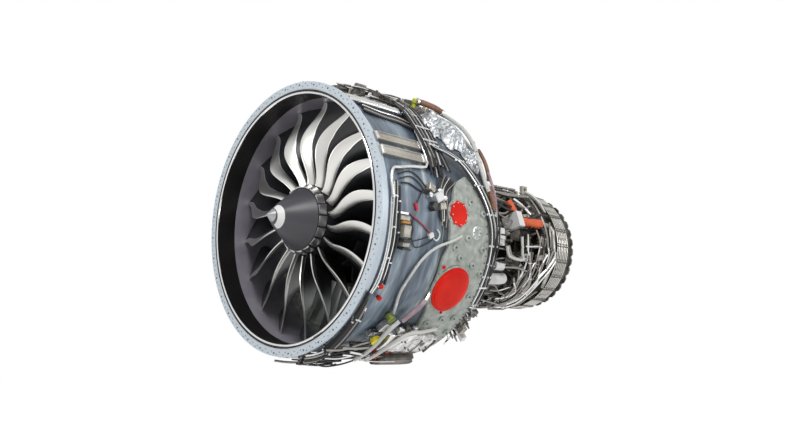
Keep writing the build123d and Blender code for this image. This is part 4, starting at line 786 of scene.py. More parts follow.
# Lines that leave the bundle, pass over the casting's shoulder and come down its back rim. Three black
# hoses, a bright tube and a pale one run side by side in clamps; four thin hoses and five straps lie on
# the rim itself.
rim_lines = []
for k, (radius, slot) in enumerate([(0.0062, BLACK), (0.0075, BRIGHT), (0.0066, BLACK), (0.0062, PALE),
                                    (0.0060, BLACK)]):
    d = 0.022 * (k - 2)
    run = eased([
        (0.600 + d, 36.0, 1.006), (0.652 + d, 28.5, 1.022), (0.764 + d, 25.6 + 0.2 * k, 1.034),
        (0.879 + d, 22.1, 1.038),
        (0.969 + d, 15.9, 1.036), (1.052 + d, 9.4, 1.030), (1.118 + d, 2.0, 1.026), (1.165 + d, -6, 1.020),
        (1.188 + d, -16, 1.011), (1.192 + d, -27, 1.007), (1.192 + d, -38 - k, 1.005),
    ])
    rim_lines += clamped(run, radius, 8, slot, 0.24, 0.014)
for k in range(4):
    y = 1.180 + 0.020 * (k % 3)
    first = rng.uniform(-8, 6)
    run = eased([(y, first, 1.030), (y + 0.012, first - 9, 1.024 + 0.006 * (k % 2)),
                 (y - 0.004, first - 20, 1.016),
                 (y + 0.014, first - 31, 1.010), (y + 0.004, first - 40, 1.004)])
    rim_lines.append(hose(run, 0.0048, 6, BLACK))
rim_lines += [block(1.190, at, 0.976, (0.086, 0.014, 0.040), rng.uniform(-12, 12), CLAMP)
              for at in (3.5, -9.0, -19.5, -30.0, -40.0)]
# A pale lip of the casting carries these lines; it stands against the casting's back face.
rim_lines.append(turned([(0.978, 1.158), (0.998, 1.158), (0.998, 1.236), (0.978, 1.236)], 40, PALE, -43, 49))
make_piece("rim_lines", rim_lines, TUBE_FINISHES)

# Long white drain tube over the rear shoulder, brown insulated air ducts and the mauve sleeve at its foot.
# The ducts are tubes under silicone-glass cloth; band clamps sit on the white tube and on two of them.
brown_duct = finish_of("brown silicone-glass duct", "#7A5440", 0.5)
mottle(brown_duct, [(0.35, "#6A4634"), (0.65, "#8B634B")], 0.06)
mauve_sleeve = finish_of("mauve silicone sleeve", "#A08A90", 0.5)
mottle(mauve_sleeve, [(0.35, "#8F7980"), (0.65, "#B09AA0")], 0.07)
DUCT_FINISHES = [brown_duct, mauve_sleeve, pale_tube, clamp_metal]
white_tube = eased([(1.150, 66, 1.060), (1.182, 49.8, 1.046), (1.134, 36.0, 1.048), (1.078, 25.0, 1.050),
                    (1.071, 15.6, 1.050), (1.092, 11.0, 1.050)])
top_duct = eased([(0.845, 61.5, 1.098), (0.940, 60.6, 1.098), (1.040, 59.4, 1.090), (1.108, 58.4, 1.072)])
rear_duct = eased([(1.176, 33.0, 1.036), (1.174, 26.0, 1.038), (1.160, 20.0, 1.036), (1.150, 17.0, 1.030)])
low_duct = eased([(1.100, 14.2, 1.048), (1.112, 10.4, 1.050), (1.130, 6.4, 1.044), (1.140, 4.2, 1.038)])
make_piece("air_ducts", [
    hose(white_tube, 0.0160, 12, 2), hose(top_duct, 0.0235, 16, 0), hose(rear_duct, 0.0150, 12, 0),
    hose(low_duct, 0.0190, 14, 0), hose(part_run(low_duct, 0, 0.02), 0.0225, 14, 3),
    pipe([(1.140, 20, 1.052), (1.152, 14, 1.050), (1.166, 8, 1.042), (1.172, 3, 1.034)], 0.0120, 10, 1),
    hose(part_run(top_duct, 0, 0.02), 0.0275, 16, 3), hose(part_run(top_duct, 0.25, 0.28), 0.0280, 16, 3),
] + clamps(white_tube, 0.0160, 0.22, 3), DUCT_FINISHES)

# Foil blankets over the valve on the rear shoulder and beside it: crumpled stainless foil, so the folds are
# straight creases.


def crumpled(first_y, last_y, low_angle, high_angle, base, height, seed, slot=0):
    """A closed mound over the case between two stations and two angles, with sharp random creases."""
    local = np.random.default_rng(seed)
    u = np.linspace(-1, 1, 60)[None, :]
    v = np.linspace(-1, 1, 76)[:, None]
    mound = (1 - np.abs(u) ** 5) * (1 - np.abs(v) ** 5)
    crease = 0 * u * v
    for size in (2.2, 3.4, 5.0, 7.5, 11.0, 15.0):
        for _ in range(3):
            turn, phase = local.uniform(0, np.pi), local.uniform(0, 2)
            wave = (u * math.cos(turn) + v * math.sin(turn)) * size / 2 + phase + 0.25 * np.sin(3 * u + 5 * v)
            crease = crease + (np.abs(wave % 2 - 1) - 0.5) / size
    skin = base + 0.004 + mound * (height + 0.062 * crease)
    y = first_y + (last_y - first_y) * (u + 1) / 2 + 0.010 * np.sin(7 * v + seed) * np.abs(u)
    angle = low_angle + (high_angle - low_angle) * (v + 1) / 2 + 0.8 * np.sin(6 * u + seed) * np.abs(v)
    top = placed(y, angle, skin)
    under = placed(y, angle, base)
    return shell(np.concatenate([top, under[:, ::-1]], axis=1), slot=slot)


foil = finish_of("crumpled stainless foil", "#B4B7BA", 0.34, 0.8)
mottle(foil, [(0.34, "#7E8388"), (0.50, "#B4B7BA"), (0.66, "#E6E8E8")], 0.022)
make_piece("foil_blankets", [
    crumpled(0.845, 1.105, 32.0, 60.0, 0.990, 0.072, 3),
    crumpled(0.700, 0.840, 38.0, 52.0, 0.990, 0.040, 5),
    crumpled(0.985, 1.110, 21.0, 33.0, 0.990, 0.045, 8),
], [foil], stands_for=["insulated_valve"])

# Brackets, small valves and connectors across the top: they make the ragged skyline above the barrel.
# Boxes and posts of dark steel, grey anodised or zinc-plated metal stand strewn over the case, and one
# tall post is of yellow-green plastic. Thin hoses and tubes run fore and aft between them.


def loose_run(start, reach, angle, swing, lift, way, last=math.inf):
    """A run of four stations: each row of the way is its share of the reach, its share of the swing and its
    height; no station lies behind the last one."""
    return eased([(min(start + a * reach, last), angle + b * swing, height + lift) for a, b, height in way],
                 6)


def scattered_block(y_range, angle_range, tallest, seat):
    """A small box at a random place, of random size, tilt and finish. It stands 10 mm higher past y 0.64,
    where the exit case begins."""
    y, angle = rng.uniform(*y_range), rng.uniform(*angle_range)
    size = (rng.uniform(0.020, 0.070), rng.uniform(0.018, 0.060), rng.uniform(0.030, tallest))
    return block(y, angle, seat + 0.010 * (y > 0.64), size, rng.uniform(-40, 40), int(rng.integers(0, 3)))


dark_steel = finish_of("oil-dark steel brackets", "#4A4742", 0.45, 0.7)
mottle(dark_steel, [(0.35, "#37342F"), (0.65, "#7A766E")], 0.05)
cap_green = finish_of("yellow-green plastic cap", "#C7CE3A", 0.45)
skyline = []
for k in range(46):
    skyline.append(scattered_block((0.28, 1.06), (56, 104), 0.085, 0.978))
for k in range(24):
    y, angle = rng.uniform(0.30, 1.05), rng.uniform(58, 100)
    tall = rng.uniform(0.050, 0.105)
    size = rng.uniform(0.008, 0.018)
    skyline.append(set_out(stud([(size, 0), (size, tall * 0.8), (size * 0.6, tall * 0.85),
                                 (size * 0.6, tall)], 10),
                           (y, angle), 0.988, int(rng.integers(0, 3))))
skyline += [
    upright(0.850, 62.5, 0.988,
            [(0.016, 0), (0.016, 0.090), (0.024, 0.092), (0.025, 0.118), (0.019, 0.126), (0.001, 0.127)],
            16, 3),
    block(0.330, 66, 0.976, (0.050, 0.080, 0.118), 0, 1),
    block(0.400, 68, 0.976, (0.040, 0.060, 0.096), 15, 0),
]
make_piece("top_brackets", skyline, [dark_steel, unit_grey, clamp_metal, cap_green])
top_lines = []
TOP_WAY = [(0, 0, 0.990), (0.3, 0.3, 0.996), (0.7, 0.8, 0.994), (1, 1, 0.998)]
for k in range(34):
    angle = rng.uniform(57, 108)
    start = rng.uniform(0.06, 0.55)
    reach = rng.uniform(0.20, 0.52)
    lift = rng.uniform(0.0, 0.075)
    swing = rng.uniform(-7, 7)
    run = loose_run(start, reach, angle, swing, lift, TOP_WAY, 1.12)
    top_lines.append(hose(run, rng.uniform(0.004, 0.0095), 6, int(rng.choice([BLACK, BLACK, BRIGHT, DULL]))))
make_piece("top_lines", top_lines, TUBE_FINISHES)

# Oil tank on the lower port side: a welded aluminium tank with rolled ends, two raised bands, three straps,
# bosses, bolts and a filler neck; the dark heat exchanger hangs below it.
tank_metal = finish_of("satin welded aluminium tank", "#C3C2C0", 0.26, 0.9)
mottle(tank_metal, [(0.34, "#8F8E8C"), (0.50, "#B5B4B2"), (0.66, "#D8D7D5")], 0.05)
tank_dark = finish_of("dark brown-grey enamel", "#55504A", 0.42, 0.2)
mottle(tank_dark, [(0.35, "#3D3934"), (0.65, "#6A645C")], 0.08)
neck_green = finish_of("green anodised ring", "#8E9B4C", 0.4, 0.5)
TANK_TURN, TANK_LOW, TANK_TOP = -58.0, 0.988, 1.112


def tank_shell():
    """The tank along y: a rounded box section, |u| ** 4 + |v| ** 4 = 1, pulled in at its two rolled ends."""
    share = np.array([0, 0.004, 0.02, 0.05, 0.10, 0.30, 0.305, 0.33, 0.335, 0.62, 0.625, 0.65, 0.655, 0.90,
                      0.95, 0.98, 0.996, 1])
    swell = np.array([0.80, 0.87, 0.93, 0.975, 1, 1, 1.03, 1.03, 1, 1, 1.03, 1.03, 1, 1, 0.975, 0.93, 0.87,
                      0.80])
    turn = np.linspace(0, 2 * np.pi, 48, endpoint=False)[None, :]
    round_u = np.sign(np.cos(turn)) * np.abs(np.cos(turn)) ** 0.5
    round_v = np.sign(np.sin(turn)) * np.abs(np.sin(turn)) ** 0.5
    middle, half = (TANK_LOW + TANK_TOP) / 2, (TANK_TOP - TANK_LOW) / 2
    radius = middle + half * round_v * swell[:, None]
    angle = TANK_TURN + np.degrees(0.100 * round_u * swell[:, None] / middle)
    return shell(placed(0.432 + 0.496 * share[:, None], angle, radius), slot=0)


neck = [(0.026, 0), (0.026, 0.040), (0.031, 0.042), (0.031, 0.050), (0.024, 0.052)]
make_piece("oil_tank_body", [
    tank_shell(),
    upright(0.500, -50.5, 1.075, [(0.030, 0), (0.030, 0.020), (0.022, 0.024)], 24, 0),
    upright(0.560, -49.5, 1.060, [(0.022, 0), (0.022, 0.026), (0.016, 0.030)], 24, 1),
    upright(0.640, -50.0, 1.060, [(0.028, 0), (0.028, 0.022), (0.018, 0.028)], 24, 0),
    block(0.380, -58.0, 0.990, (0.100, 0.070, 0.036), 0, 0),
    block(0.410, -52.6, 0.990, (0.075, 0.080, 0.050), -12, 0),
    upright(0.372, -58.0, 1.020, [(0.024, 0), (0.024, 0.0297)], 20, 0),
    upright(0.401, -47.6, 0.988, neck, 20, 2),
    upright(0.700, -55.5, 1.096, [(0.034, 0), (0.034, 0.014), (0.026, 0.018), (0.012, 0.018)], 24, 0),
    upright(0.800, -56.5, 1.096, [(0.022, 0), (0.022, 0.016), (0.014, 0.020)], 20, 1),
    upright(0.860, -54.5, 1.092, [(0.015, 0), (0.015, 0.020), (0.010, 0.028)], 16, 0),
] + [block(y, -58.0, 1.090, (0.012, 0.150, 0.026), 0, 1) for y in (0.505, 0.760, 0.902)] + [
    spread(hex_head, placed(y, turn, 1.112), outward(turn), 1)
    for y, turn in ((0.560, -55.0), (0.600, -55.2), (0.660, -59.0), (0.720, -60.5), (0.830, -60.0),
                    (0.870, -58.5))
], [tank_metal, tank_dark, neck_green], stands_for=["oil_tank"])


def dress(node, finish):
    """Gives a CAD node that keeps its own shape one finish."""
    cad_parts[node].data.materials.clear()
    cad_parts[node].data.materials.append(finish)


filler_yellow = finish_of("yellow moulded cap", "#E8D80F", 0.35)
dress("oil_filler_cap", filler_yellow)
make_piece("heat_exchanger", [
    block(0.800, -73.5, 0.988, (0.300, 0.150, 0.118), 0, 0, 0.12),
    block(0.800, -66.5, 0.988, (0.260, 0.050, 0.085), 0, 1),
    pipe([(0.630, -76.5, 1.070), (0.700, -76, 1.076), (0.960, -75, 1.078), (1.000, -74, 1.070)],
         0.034, 16, 0),
    block(0.930, -77.0, 0.988, (0.080, 0.090, 0.100), 12, 1),
    block(0.700, -80.5, 0.988, (0.120, 0.060, 0.080), -10, 0),
], [tank_dark, dark_steel], stands_for=["oil_cooler"])

# Ducts and struts round the tank: the mauve duct with its bright elbow, the thick pale pipe to the filler,
# the long pale strut over the tank with a bright tube beside it, and a thin rod below.
duct_bits = [
    pipe([(0.500, -47.6, 1.040), (0.535, -43.7, 1.042), (0.580, -40.0, 1.040), (0.618, -37.2, 1.028)],
         0.0180, 12, 1),
    pipe([(0.616, -37.4, 1.030), (0.634, -36.0, 1.020), (0.650, -34.8, 1.004), (0.662, -34.2, 0.992)],
         0.0125, 10, 3),
    pipe([(0.411, -73.8, 1.080), (0.400, -68.0, 1.082), (0.393, -62.9, 1.082), (0.383, -52.1, 1.080),
          (0.432, -46.2, 1.070)], 0.0155, 12, 2),
    pipe([(0.470, -70.5, 1.100), (0.456, -64.2, 1.112), (0.475, -55.4, 1.118), (0.560, -50.2, 1.116),
          (0.700, -49.6, 1.104), (0.852, -49.2, 1.080)], 0.0135, 10, 2),
    pipe([(0.455, -72.0, 1.090), (0.470, -60.0, 1.116), (0.530, -52.5, 1.124), (0.640, -50.6, 1.116)],
         0.0105, 10, 3),
    pipe([(0.397, -70.5, 1.104), (0.560, -71.3, 1.110), (0.775, -71.8, 1.108)], 0.0052, 8, 3),
]
make_piece("tank_ducts", duct_bits, DUCT_FINISHES)

# Lower harness: hoses with bare cut ends that stick out past the flange at the bottom, run up behind it,
# and a dark mass of cables, couplings and brackets under the barrel.
low_lines = []
LOW_WAY = [(0, 0, 0.990), (0.35, 0.2, 0.998), (0.7, 0.7, 0.994), (1, 1, 0.990)]
for k in range(12):
    row, place = divmod(k, 4)
    d, lift = 0.019 * (place - 1.5), 0.019 * row
    slot = (BLACK, DULL, BLACK, BRIGHT, BLACK, BLACK, BRIGHT, DULL, BLACK, BLACK, DULL, BLACK)[k]
    run = eased([
        (-0.060 - 0.008 * (k % 3), -75.6 + 1.1 * place, 1.062 + lift),
        (0.000, -74.6 + 1.1 * place, 1.058 + lift),
        (0.060 + 0.3 * d, -72.0 + 0.9 * place, 1.044 + lift), (0.105 + d, -66.0, 1.016 + 0.8 * lift),
        (0.118 + d, -55.0, 0.996 + 0.5 * lift), (0.120 + d, -45.0 - 2 * row, 0.990 + 0.4 * lift),
        (0.110 + 0.8 * d, -36.5 - 3 * place, 0.988 + 0.3 * lift),
    ])
    low_lines += clamped(run, 0.0086, 8, slot, 0.36)
for k in range(64):
    start, reach = rng.uniform(0.03, 0.40), rng.uniform(0.16, 0.42)
    angle, swing, lift = rng.uniform(-112, -63), rng.uniform(-9, 9), rng.uniform(0.0, 0.090)
    run = loose_run(start, reach, angle, swing, lift, LOW_WAY)
    radius = rng.uniform(0.004, 0.010)
    low_lines.append(hose(run, radius, 6, int(rng.choice([BLACK, BLACK, BLACK, BLACK, DULL, BRIGHT]))))
low_lines.append(pipe([(0.040, -73, 1.090), (0.110, -77, 1.100), (0.230, -79.5, 1.104), (0.330, -77, 1.098),
                       (0.400, -74, 1.086)], 0.0060, 8, BLACK))
make_piece("lower_harness", low_lines, TUBE_FINISHES)
low_units = []
for k in range(34):
    low_units.append(scattered_block((0.10, 1.10), (-112, -66), 0.095, 0.976))
low_units += [
    upright(0.604, -65.4, 0.988, [(0.016, 0), (0.016, 0.092), (0.012, 0.098)], 14, 3),
    upright(0.560, -70.4, 0.988, [(0.014, 0), (0.014, 0.100), (0.010, 0.106)], 14, 3),
]
make_piece("lower_units", low_units, [dark_steel, unit_grey, clamp_metal, red_plastic])

# Starboard dressing: cable runs fan out from the control box, and drain lines go round the barrel to the
# bottom. The picture doesn't show this side, so it follows the usual layout in plain runs.
far_side = []
for k in range(12):
    d = 0.017 * (k - 5.5)
    lift = 0.985 + 0.006 * (k % 2)
    run = eased([(0.330 + d, 146, lift), (0.330 + 0.9 * d, 134, lift), (0.360 + d, 122, lift),
                 (0.430 + 1.4 * d, 112, lift + 0.004)])
    far_side.append(hose(run, 0.0068, 7, (BLACK, BLACK, DULL, BLACK)[k % 4]))
for k in range(9):
    d = 0.024 * (k - 4)
    run = eased([(0.340 + d, 192, 0.986), (0.350 + 0.8 * d, 206, 0.986), (0.300 + 0.9 * d, 222, 0.988),
                 (0.280 + d, 238, 0.994), (0.300 + d, 250, 1.000)])
    far_side += clamped(run, 0.0072, 7, (BLACK, BRIGHT, BLACK)[k % 3], 0.30, 0.010)
for at, radius in ((0.560, 0.0110), (0.600, 0.0085)):
    run = eased([(at, 118, 0.990), (at + 0.01, 145, 0.990), (at - 0.01, 175, 0.990), (at + 0.012, 205, 0.990),
                 (at, 240, 0.992)])
    far_side += clamped(run, radius, 9, PALE, 0.26)
far_side += [block(y, turn, 0.975, (0.070, 0.050, 0.044), lean, slot) for y, turn, lean, slot in (
    (0.470, 158, 8, CLAMP), (0.500, 186, -12, DULL), (0.200, 214, 5, DULL), (0.520, 226, 20, CLAMP),
    (0.180, 128, 0, DULL))]
make_piece("starboard_lines", far_side, TUBE_FINISHES)

# Fittings behind the casting's lower rim: brackets, short hoses and a clutch of bare unions. One bracket
# and two unions stand clear of their neighbours, which is a fault.
rear_bits = [block(1.215, -47.0, 0.965, (0.110, 0.070, 0.040), 20, 0),
             block(1.290, -44.5, 0.965, (0.060, 0.060, 0.030), -15, 0),
             block(1.190, -40.5, 0.968, (0.060, 0.050, 0.036), 10, 1),
             block(1.240, -52.5, 0.975, (0.050, 0.060, 0.070), 0, 1),
             block(1.300, -56.5, 0.975, (0.040, 0.050, 0.090), 25, 2)]
for k in range(9):
    angle = -41 - 2.4 * k
    rear_bits.append(upright(1.175 + rng.uniform(0, 0.13),
                             angle, 0.968, [(0.009, 0), (0.009, 0.045), (0.006, 0.070)], 8, k % 3))
    rear_bits.append(pipe([(1.150, angle + 3, 1.016), (1.200, angle + 1, 1.014 - 0.003 * k),
                           (1.250, angle - 2, 0.992),
                           (1.230 + 0.02 * (k % 3), angle - 6, 1.006)], 0.0055, 6, 3 if k % 2 else 2))
make_piece("rear_rim_fittings", rear_bits, [dark_steel, unit_grey, clamp_metal, black_hose])

# Core: the compressor, combustor and turbine cases keep their CAD shape, in heat-darkened nickel and
# titanium alloys. Pale enamelled panels, small boxes and two round bodies stand on its port side.
core_metal = finish_of("heat-darkened nickel alloy", "#3B3631", 0.45, 0.75)
mottle(core_metal, [(0.25, "#221F1D"), (0.5, "#3B3631"), (0.75, "#655D53")], 0.10, (1, 0.5, 1))
panel_pale = finish_of("pale grey enamel panels", "#D3D4D2", 0.42)
mottle(panel_pale, [(0.35, "#C2C3C1"), (0.65, "#E2E3E1")], 0.10)
make_piece("core_panels", [
    block(1.650, -4, 0.5205, (0.182, 0.172, 0.006)), block(1.845, -1, 0.5455, (0.112, 0.152, 0.006)),
    pipe([(1.800, -39.5, 0.560), (1.860, -39.5, 0.566), (1.950, -39.0, 0.566), (2.000, -38.5, 0.560)],
         0.050, 24),
    pipe([(1.810, -27.0, 0.565), (1.850, -27.0, 0.568), (1.910, -27.0, 0.568)], 0.036, 20),
    block(1.700, 6.0, 0.5265, (0.060, 0.080, 0.030)), block(1.840, 1.0, 0.5515, (0.060, 0.090, 0.030)),
], [panel_pale])


def core_floor(y, step):
    """The radius on which small units stand on the core; the step is the station where the turbine begins."""
    if y < 1.72:
        return 0.332
    return 0.432 if y < step else (0.472 if y < 2.43 else 0.522)


core_units = []
for k in range(110):
    y, angle = rng.uniform(1.66, 2.56), rng.uniform(-118, 62) + (180 if k % 3 == 0 else 0)
    low = core_floor(y, 2.15)
    size = (rng.uniform(0.030, 0.100), rng.uniform(0.030, 0.090), rng.uniform(0.5, 1.0) * (0.568 - low))
    core_units.append(block(y, angle, low, size, rng.uniform(-30, 30), int(rng.choice([0, 0, 0, 0, 1]))))
for k in range(70):
    y, angle = rng.uniform(1.74, 2.56), rng.uniform(-118, 62) + (180 if k % 3 == 0 else 0)
    low = core_floor(y, 2.14)
    size = rng.uniform(0.008, 0.022)
    post = [(size, 0), (size, 0.556 - low), (size * 0.6, 0.572 - low)]
    core_units.append(set_out(stud(post, 8), (y, angle), low, int(rng.choice([0, 0, 1, 2]))))
make_piece("core_fittings", core_units, [dark_steel, unit_grey, clamp_metal])

# Tubes on the core: twelve set one by one, most of them after tubes in the picture, then a close web of
# thin ones between them. They are bare or heat-tinted steel, with two pale painted ones and some black
# hoses.
core_tubes = []
CORE_LINE_R = 0.582
CORE_WAY = [(0, 0, 0), (0.3, 0.1, 0.004), (0.65, 0.8, 0), (1, 1, -0.008)]
for radius, slot, stations in [
    (0.0140, DULL, [(2.230, -12), (2.262, -21), (2.328, -31), (2.385, -41), (2.374, -52), (2.330, -66),
                    (2.250, -80)]),
    (0.0115, BRIGHT, [(2.620, -8), (2.600, -15), (2.530, -25), (2.469, -34), (2.430, -47), (2.411, -58),
                      (2.360, -70)]),
    (0.0100, BRIGHT, [(2.640, -16), (2.590, -25), (2.520, -36), (2.480, -50), (2.470, -66), (2.420, -80)]),
    (0.0120, BRIGHT, [(2.180, 40), (2.231, 35), (2.280, 28), (2.311, 24)]),
    (0.0115, BRIGHT, [(2.660, 66), (2.620, 50), (2.590, 38), (2.571, 29)]),
    (0.0095, BRIGHT, [(2.150, -40), (2.192, -43), (2.250, -48), (2.265, -53), (2.190, -59), (2.090, -61)]),
    (0.0140, PALE, [(1.905, -9), (1.925, -14), (1.960, -17), (2.050, -18.5), (2.137, -18.8), (2.170, -17.5)]),
    (0.0130, PALE, [(2.110, 1), (2.112, -4), (2.122, -10), (2.135, -15), (2.160, -17.5)]),
    (0.0090, BRIGHT, [(2.195, 4), (2.190, -4), (2.200, -10), (2.240, -15)]),
    (0.0080, BRIGHT, [(2.160, -6.6), (2.208, -6.6), (2.336, -5.4), (2.400, -5.6)]),
    (0.0100, DULL, [(1.700, 48), (1.900, 46), (2.100, 44), (2.300, 46), (2.500, 49)]),
    (0.0120, DULL, [(1.700, 56), (1.950, 58), (2.200, 60), (2.420, 62)]),
]:
    run = eased([(y, angle, CORE_LINE_R) for y, angle in stations])
    core_tubes += clamped(run, radius, 10, slot, 0.17, 0.010)
for k in range(56):
    y = rng.uniform(2.16, 2.58)
    first, reach = rng.uniform(-120, 5) + (180 if k % 3 == 0 else 0), rng.uniform(14, 55)
    lift = rng.uniform(0.535, 0.590)
    run = eased([(y, first, lift), (y + rng.uniform(-0.02, 0.02), first + 0.35 * reach, lift + 0.004),
                 (y + rng.uniform(-0.03, 0.03), first + 0.7 * reach, lift - 0.002),
                 (y + rng.uniform(-0.05, 0.05), first + reach, lift - 0.006)], 6)
    core_tubes.append(hose(run, rng.uniform(0.0045, 0.0095), 6, int(rng.choice([BRIGHT, DULL, DULL, BLACK]))))
for k in range(60):
    start, reach = rng.uniform(1.62, 2.20), rng.uniform(0.22, 0.50)
    angle, swing = rng.uniform(-110, 52) + (180 if k % 3 == 0 else 0), rng.uniform(-12, 12)
    lift = rng.uniform(0.530, 0.590)
    run = loose_run(start, reach, angle, swing, lift, CORE_WAY)
    radius = rng.uniform(0.0045, 0.0100)
    core_tubes.append(hose(run, radius, 6, int(rng.choice([DULL, DULL, DULL, BLACK, BLACK]))))
make_piece("core_tubes", core_tubes, TUBE_FINISHES)

# Cooling manifold round the turbine case: seven thin tubes side by side, tied every fifteen degrees by
# cross straps but for a gap at the top, with small feed boxes round it.
cooling_grey = finish_of("dull stainless tube", "#BDBBB6", 0.34, 0.9)
cooling = []
for k in range(7):
    y = 2.692 + 0.0255 * k
    turns = np.linspace(0, 2 * np.pi, 9)[:-1]
    outline = [(0.5560 + 0.0062 * math.cos(t), y + 0.0062 * math.sin(t)) for t in turns]
    cooling.append(turned(outline, 110, 0, 105.5, 329))
for at in range(24):
    angle = 13.5 + 15 * at
    if abs(angle - 90) > 14:
        cooling.append(block(2.768, angle, 0.5215, (0.200, 0.012, 0.0430), 0, 1))
        cooling.append(block(2.768, angle + 2.2, 0.5400, (0.184, 0.006, 0.0235), 0, 1))
for angle in (36, 6, -24, -54, -84, 66, 126, 156, 186, 216, 246):
    cooling.append(block(2.768, angle, 0.5440, (0.120, 0.022, 0.0200), 0, 2))
make_piece("cooling_tubes", cooling, [cooling_grey, dark_steel, unit_grey], stands_for=["cooling_manifold"])

# Bleed valve: a white enamelled body, orange silicone sleeves and a grey pipe that bends down the turbine
# case. All three keep their CAD shape.
valve_white = finish_of("white enamelled valve body", "#E2E3E1", 0.36)
sleeve_orange = finish_of("orange silicone sleeve", "#D9562B", 0.45)
mottle(sleeve_orange, [(0.35, "#C54A22"), (0.65, "#E4652F")], 0.05)
pipe_grey = finish_of("grey oxidised steel pipe", "#9A9792", 0.34, 0.85)
mottle(pipe_grey, [(0.35, "#7F7B76"), (0.65, "#B3B0AB")], 0.08)
for node, finish in (("bleed_valve", valve_white), ("valve_sleeves", sleeve_orange),
                     ("bleed_pipe", pipe_grey)):
    dress(node, finish)

# Finishes of the inner machine and of the plain parts that keep their CAD shape: ground steel on gears
# and shafts, aluminium on vanes, nickel alloy on what gets hot, anodised metal on boxes and accessories.
gear_steel = finish_of("ground case-hardened steel", "#8B8C8E", 0.28, 1.0)
vane_metal = finish_of("satin aluminium vanes", "#B4B5B6", 0.30, 0.9)
frame_metal = finish_of("dark cast frame", "#5A5B5C", 0.50, 0.5)
hot_metal = finish_of("straw-tinted nickel alloy", "#7C6A52", 0.40, 0.9)
exhaust_grey = finish_of("grey oxidised exhaust case", "#76736F", 0.45, 0.8)
mottle(exhaust_grey, [(0.30, "#54514D"), (0.70, "#96938E")], 0.07)
box_black = finish_of("black anodised box", "#242427", 0.42, 0.3)
for finish, nodes in (
    (gear_steel, "ring_gear sun_gear star_gear_1 star_gear_2 star_gear_3 star_gear_4 star_gear_5 "
     "gear_carrier fan_shaft low_shaft main_bearings tower_shaft actuator_rod"),
    (vane_metal, "exit_guide_vanes low_compressor_rotor high_compressor_rotor"),
    (frame_metal, "core_inlet_case inlet_frame mid_turbine_frame unison_ring vane_actuator sump_cover"),
    (core_metal, "intermediate_case compressor_case combustor_case turbine_case"),
    (hot_metal, "combustion_chamber high_turbine_rotor low_turbine_rotor low_turbine_blades"),
    (exhaust_grey, "exhaust_case"),
    (dark_steel, "top_units"), (core_metal, "core_units"), (dull_tube, "core_pipes"),
    (unit_grey, "accessory_gearbox starter fuel_pump front_mount rear_mount thrust_links"),
    (box_black, "electronic_control"),
):
    for node in nodes.split():
        dress(node, finish)

# Camera, light and ground for the picture: the photograph's viewing angle, worked out from the inlet ring,
# the fan and the length of the engine. The engine hangs, so the pale floor lies below it.
AZIMUTH, ELEVATION, DISTANCE = math.radians(45.29), math.radians(-9.33), 6.8
AIM, SHIFT_RIGHT, SHIFT_UP = np.array([0, 1.2, 0]), 0.0639, 0.1063
FOCAL_PIXELS, PICTURE_WIDTH, SENSOR_WIDTH = 806.9, 787, 36.0
back = np.array([
    math.sin(AZIMUTH) * math.cos(ELEVATION), -math.cos(AZIMUTH) * math.cos(ELEVATION), math.sin(ELEVATION),
])
right = np.array([math.cos(AZIMUTH), math.sin(AZIMUTH), 0.0])
up = np.cross(back, right)
eye = AIM + back * DISTANCE - right * SHIFT_RIGHT + up * SHIFT_UP
lens = bpy.data.cameras.new("camera")
lens.sensor_width, lens.lens, lens.clip_end = SENSOR_WIDTH, FOCAL_PIXELS / PICTURE_WIDTH * SENSOR_WIDTH, 60
camera = bpy.data.objects.new("camera", lens)
camera.matrix_world = Matrix([
    [right[0], up[0], back[0], eye[0]], [right[1], up[1], back[1], eye[1]],
    [right[2], up[2], back[2], eye[2]],
    [0, 0, 0, 1],
])
bpy.context.scene.collection.objects.link(camera)
bpy.context.scene.camera = camera


LAMP_SIZE = 2.4


def soft_box(name, place, target, watts):
    """A square area lamp at a place, facing a target."""
    lamp = bpy.data.lights.new(name, "AREA")
    lamp.size, lamp.energy = LAMP_SIZE, watts
    holder = bpy.data.objects.new(name, lamp)
    away = np.array(place, dtype=float) - np.array(target, dtype=float)
    away = away / np.linalg.norm(away)
    side = np.cross([0, 0, 1.0], away)
    side = side / np.linalg.norm(side)
    rise = np.cross(away, side)
    holder.matrix_world = Matrix([
        [side[0], rise[0], away[0], place[0]], [side[1], rise[1], away[1], place[1]],
        [side[2], rise[2], away[2], place[2]], [0, 0, 0, 1],
    ])
    bpy.context.scene.collection.objects.link(holder)


soft_box("key", (4.5, -3.2, 5.2), (0, 1.0, 0), 300)
soft_box("side", (6.5, 3.5, 1.0), (0, 1.4, 0), 105)
soft_box("front", (-1.5, -6.5, 1.2), (0, 0.3, 0), 110)

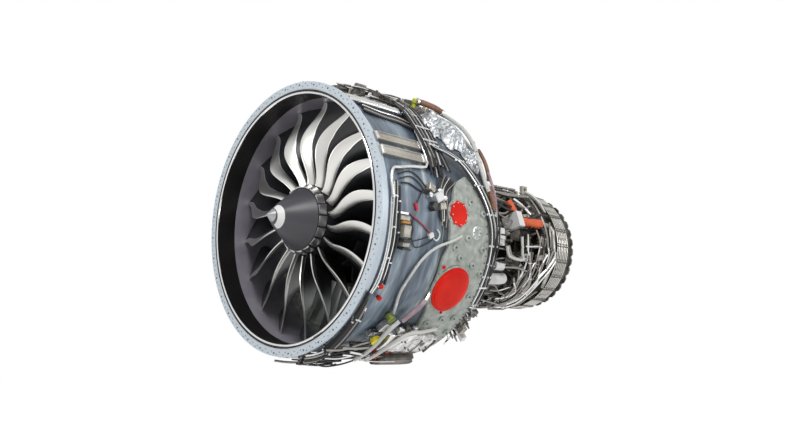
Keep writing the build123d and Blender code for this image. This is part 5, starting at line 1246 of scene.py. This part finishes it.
# How bright the world is for matt surfaces, and how much the floor shines where it is seen directly.
DIFFUSE_LEVEL, FLOOR_SHINE = 0.32, 0.62
FLOOR_Z, FLOOR_HALF = -2.1, 30


def seen_directly(material):
    """1 for a camera, glossy or transmission ray, so that metal and glass show the background too; else 0."""
    ray = add_node(material, "ShaderNodeLightPath")
    either = add_node(material, "ShaderNodeMath", {
        0: ray.outputs["Is Camera Ray"], 1: ray.outputs["Is Glossy Ray"]}, operation="MAXIMUM")
    return add_node(material, "ShaderNodeMath", {
        0: either.outputs[0], 1: ray.outputs["Is Transmission Ray"]}, operation="MAXIMUM").outputs[0]


world = bpy.data.worlds.new("studio")
bpy.context.scene.world = world
world.use_nodes = True
level = add_node(world, "ShaderNodeMapRange",
                 {"Value": seen_directly(world), "To Min": DIFFUSE_LEVEL, "To Max": 1.0})
world.node_tree.links.new(level.outputs["Result"], world.node_tree.nodes["Background"].inputs["Strength"])
world.node_tree.nodes["Background"].inputs["Color"].default_value = (1, 1, 1, 1)

floor_mesh = bpy.data.meshes.new("floor")
floor_corners = [(x * FLOOR_HALF, y * FLOOR_HALF, FLOOR_Z) for x, y in ((-1, -1), (1, -1), (1, 1), (-1, 1))]
floor_mesh.from_pydata(floor_corners, [], [(0, 1, 2, 3)])
floor = bpy.data.objects.new("floor", floor_mesh)
bpy.context.scene.collection.objects.link(floor)
floor_white = finish_of("white studio floor", "#FFFFFF", 0.9)
floor_mesh.materials.append(floor_white)
tree = floor_white.node_tree
shine = add_node(floor_white, "ShaderNodeEmission", {"Color": (1, 1, 1, 1), "Strength": FLOOR_SHINE})
both = add_node(floor_white, "ShaderNodeAddShader")
tree.links.new(tree.nodes["Principled BSDF"].outputs["BSDF"], both.inputs[0])
tree.links.new(shine.outputs["Emission"], both.inputs[1])
pick = add_node(floor_white, "ShaderNodeMixShader", {"Fac": seen_directly(floor_white)})
tree.links.new(tree.nodes["Principled BSDF"].outputs["BSDF"], pick.inputs[1])
tree.links.new(both.outputs["Shader"], pick.inputs[2])
tree.links.new(pick.outputs["Shader"], tree.nodes["Material Output"].inputs["Surface"])

bpy.context.scene.view_settings.view_transform = "Standard"
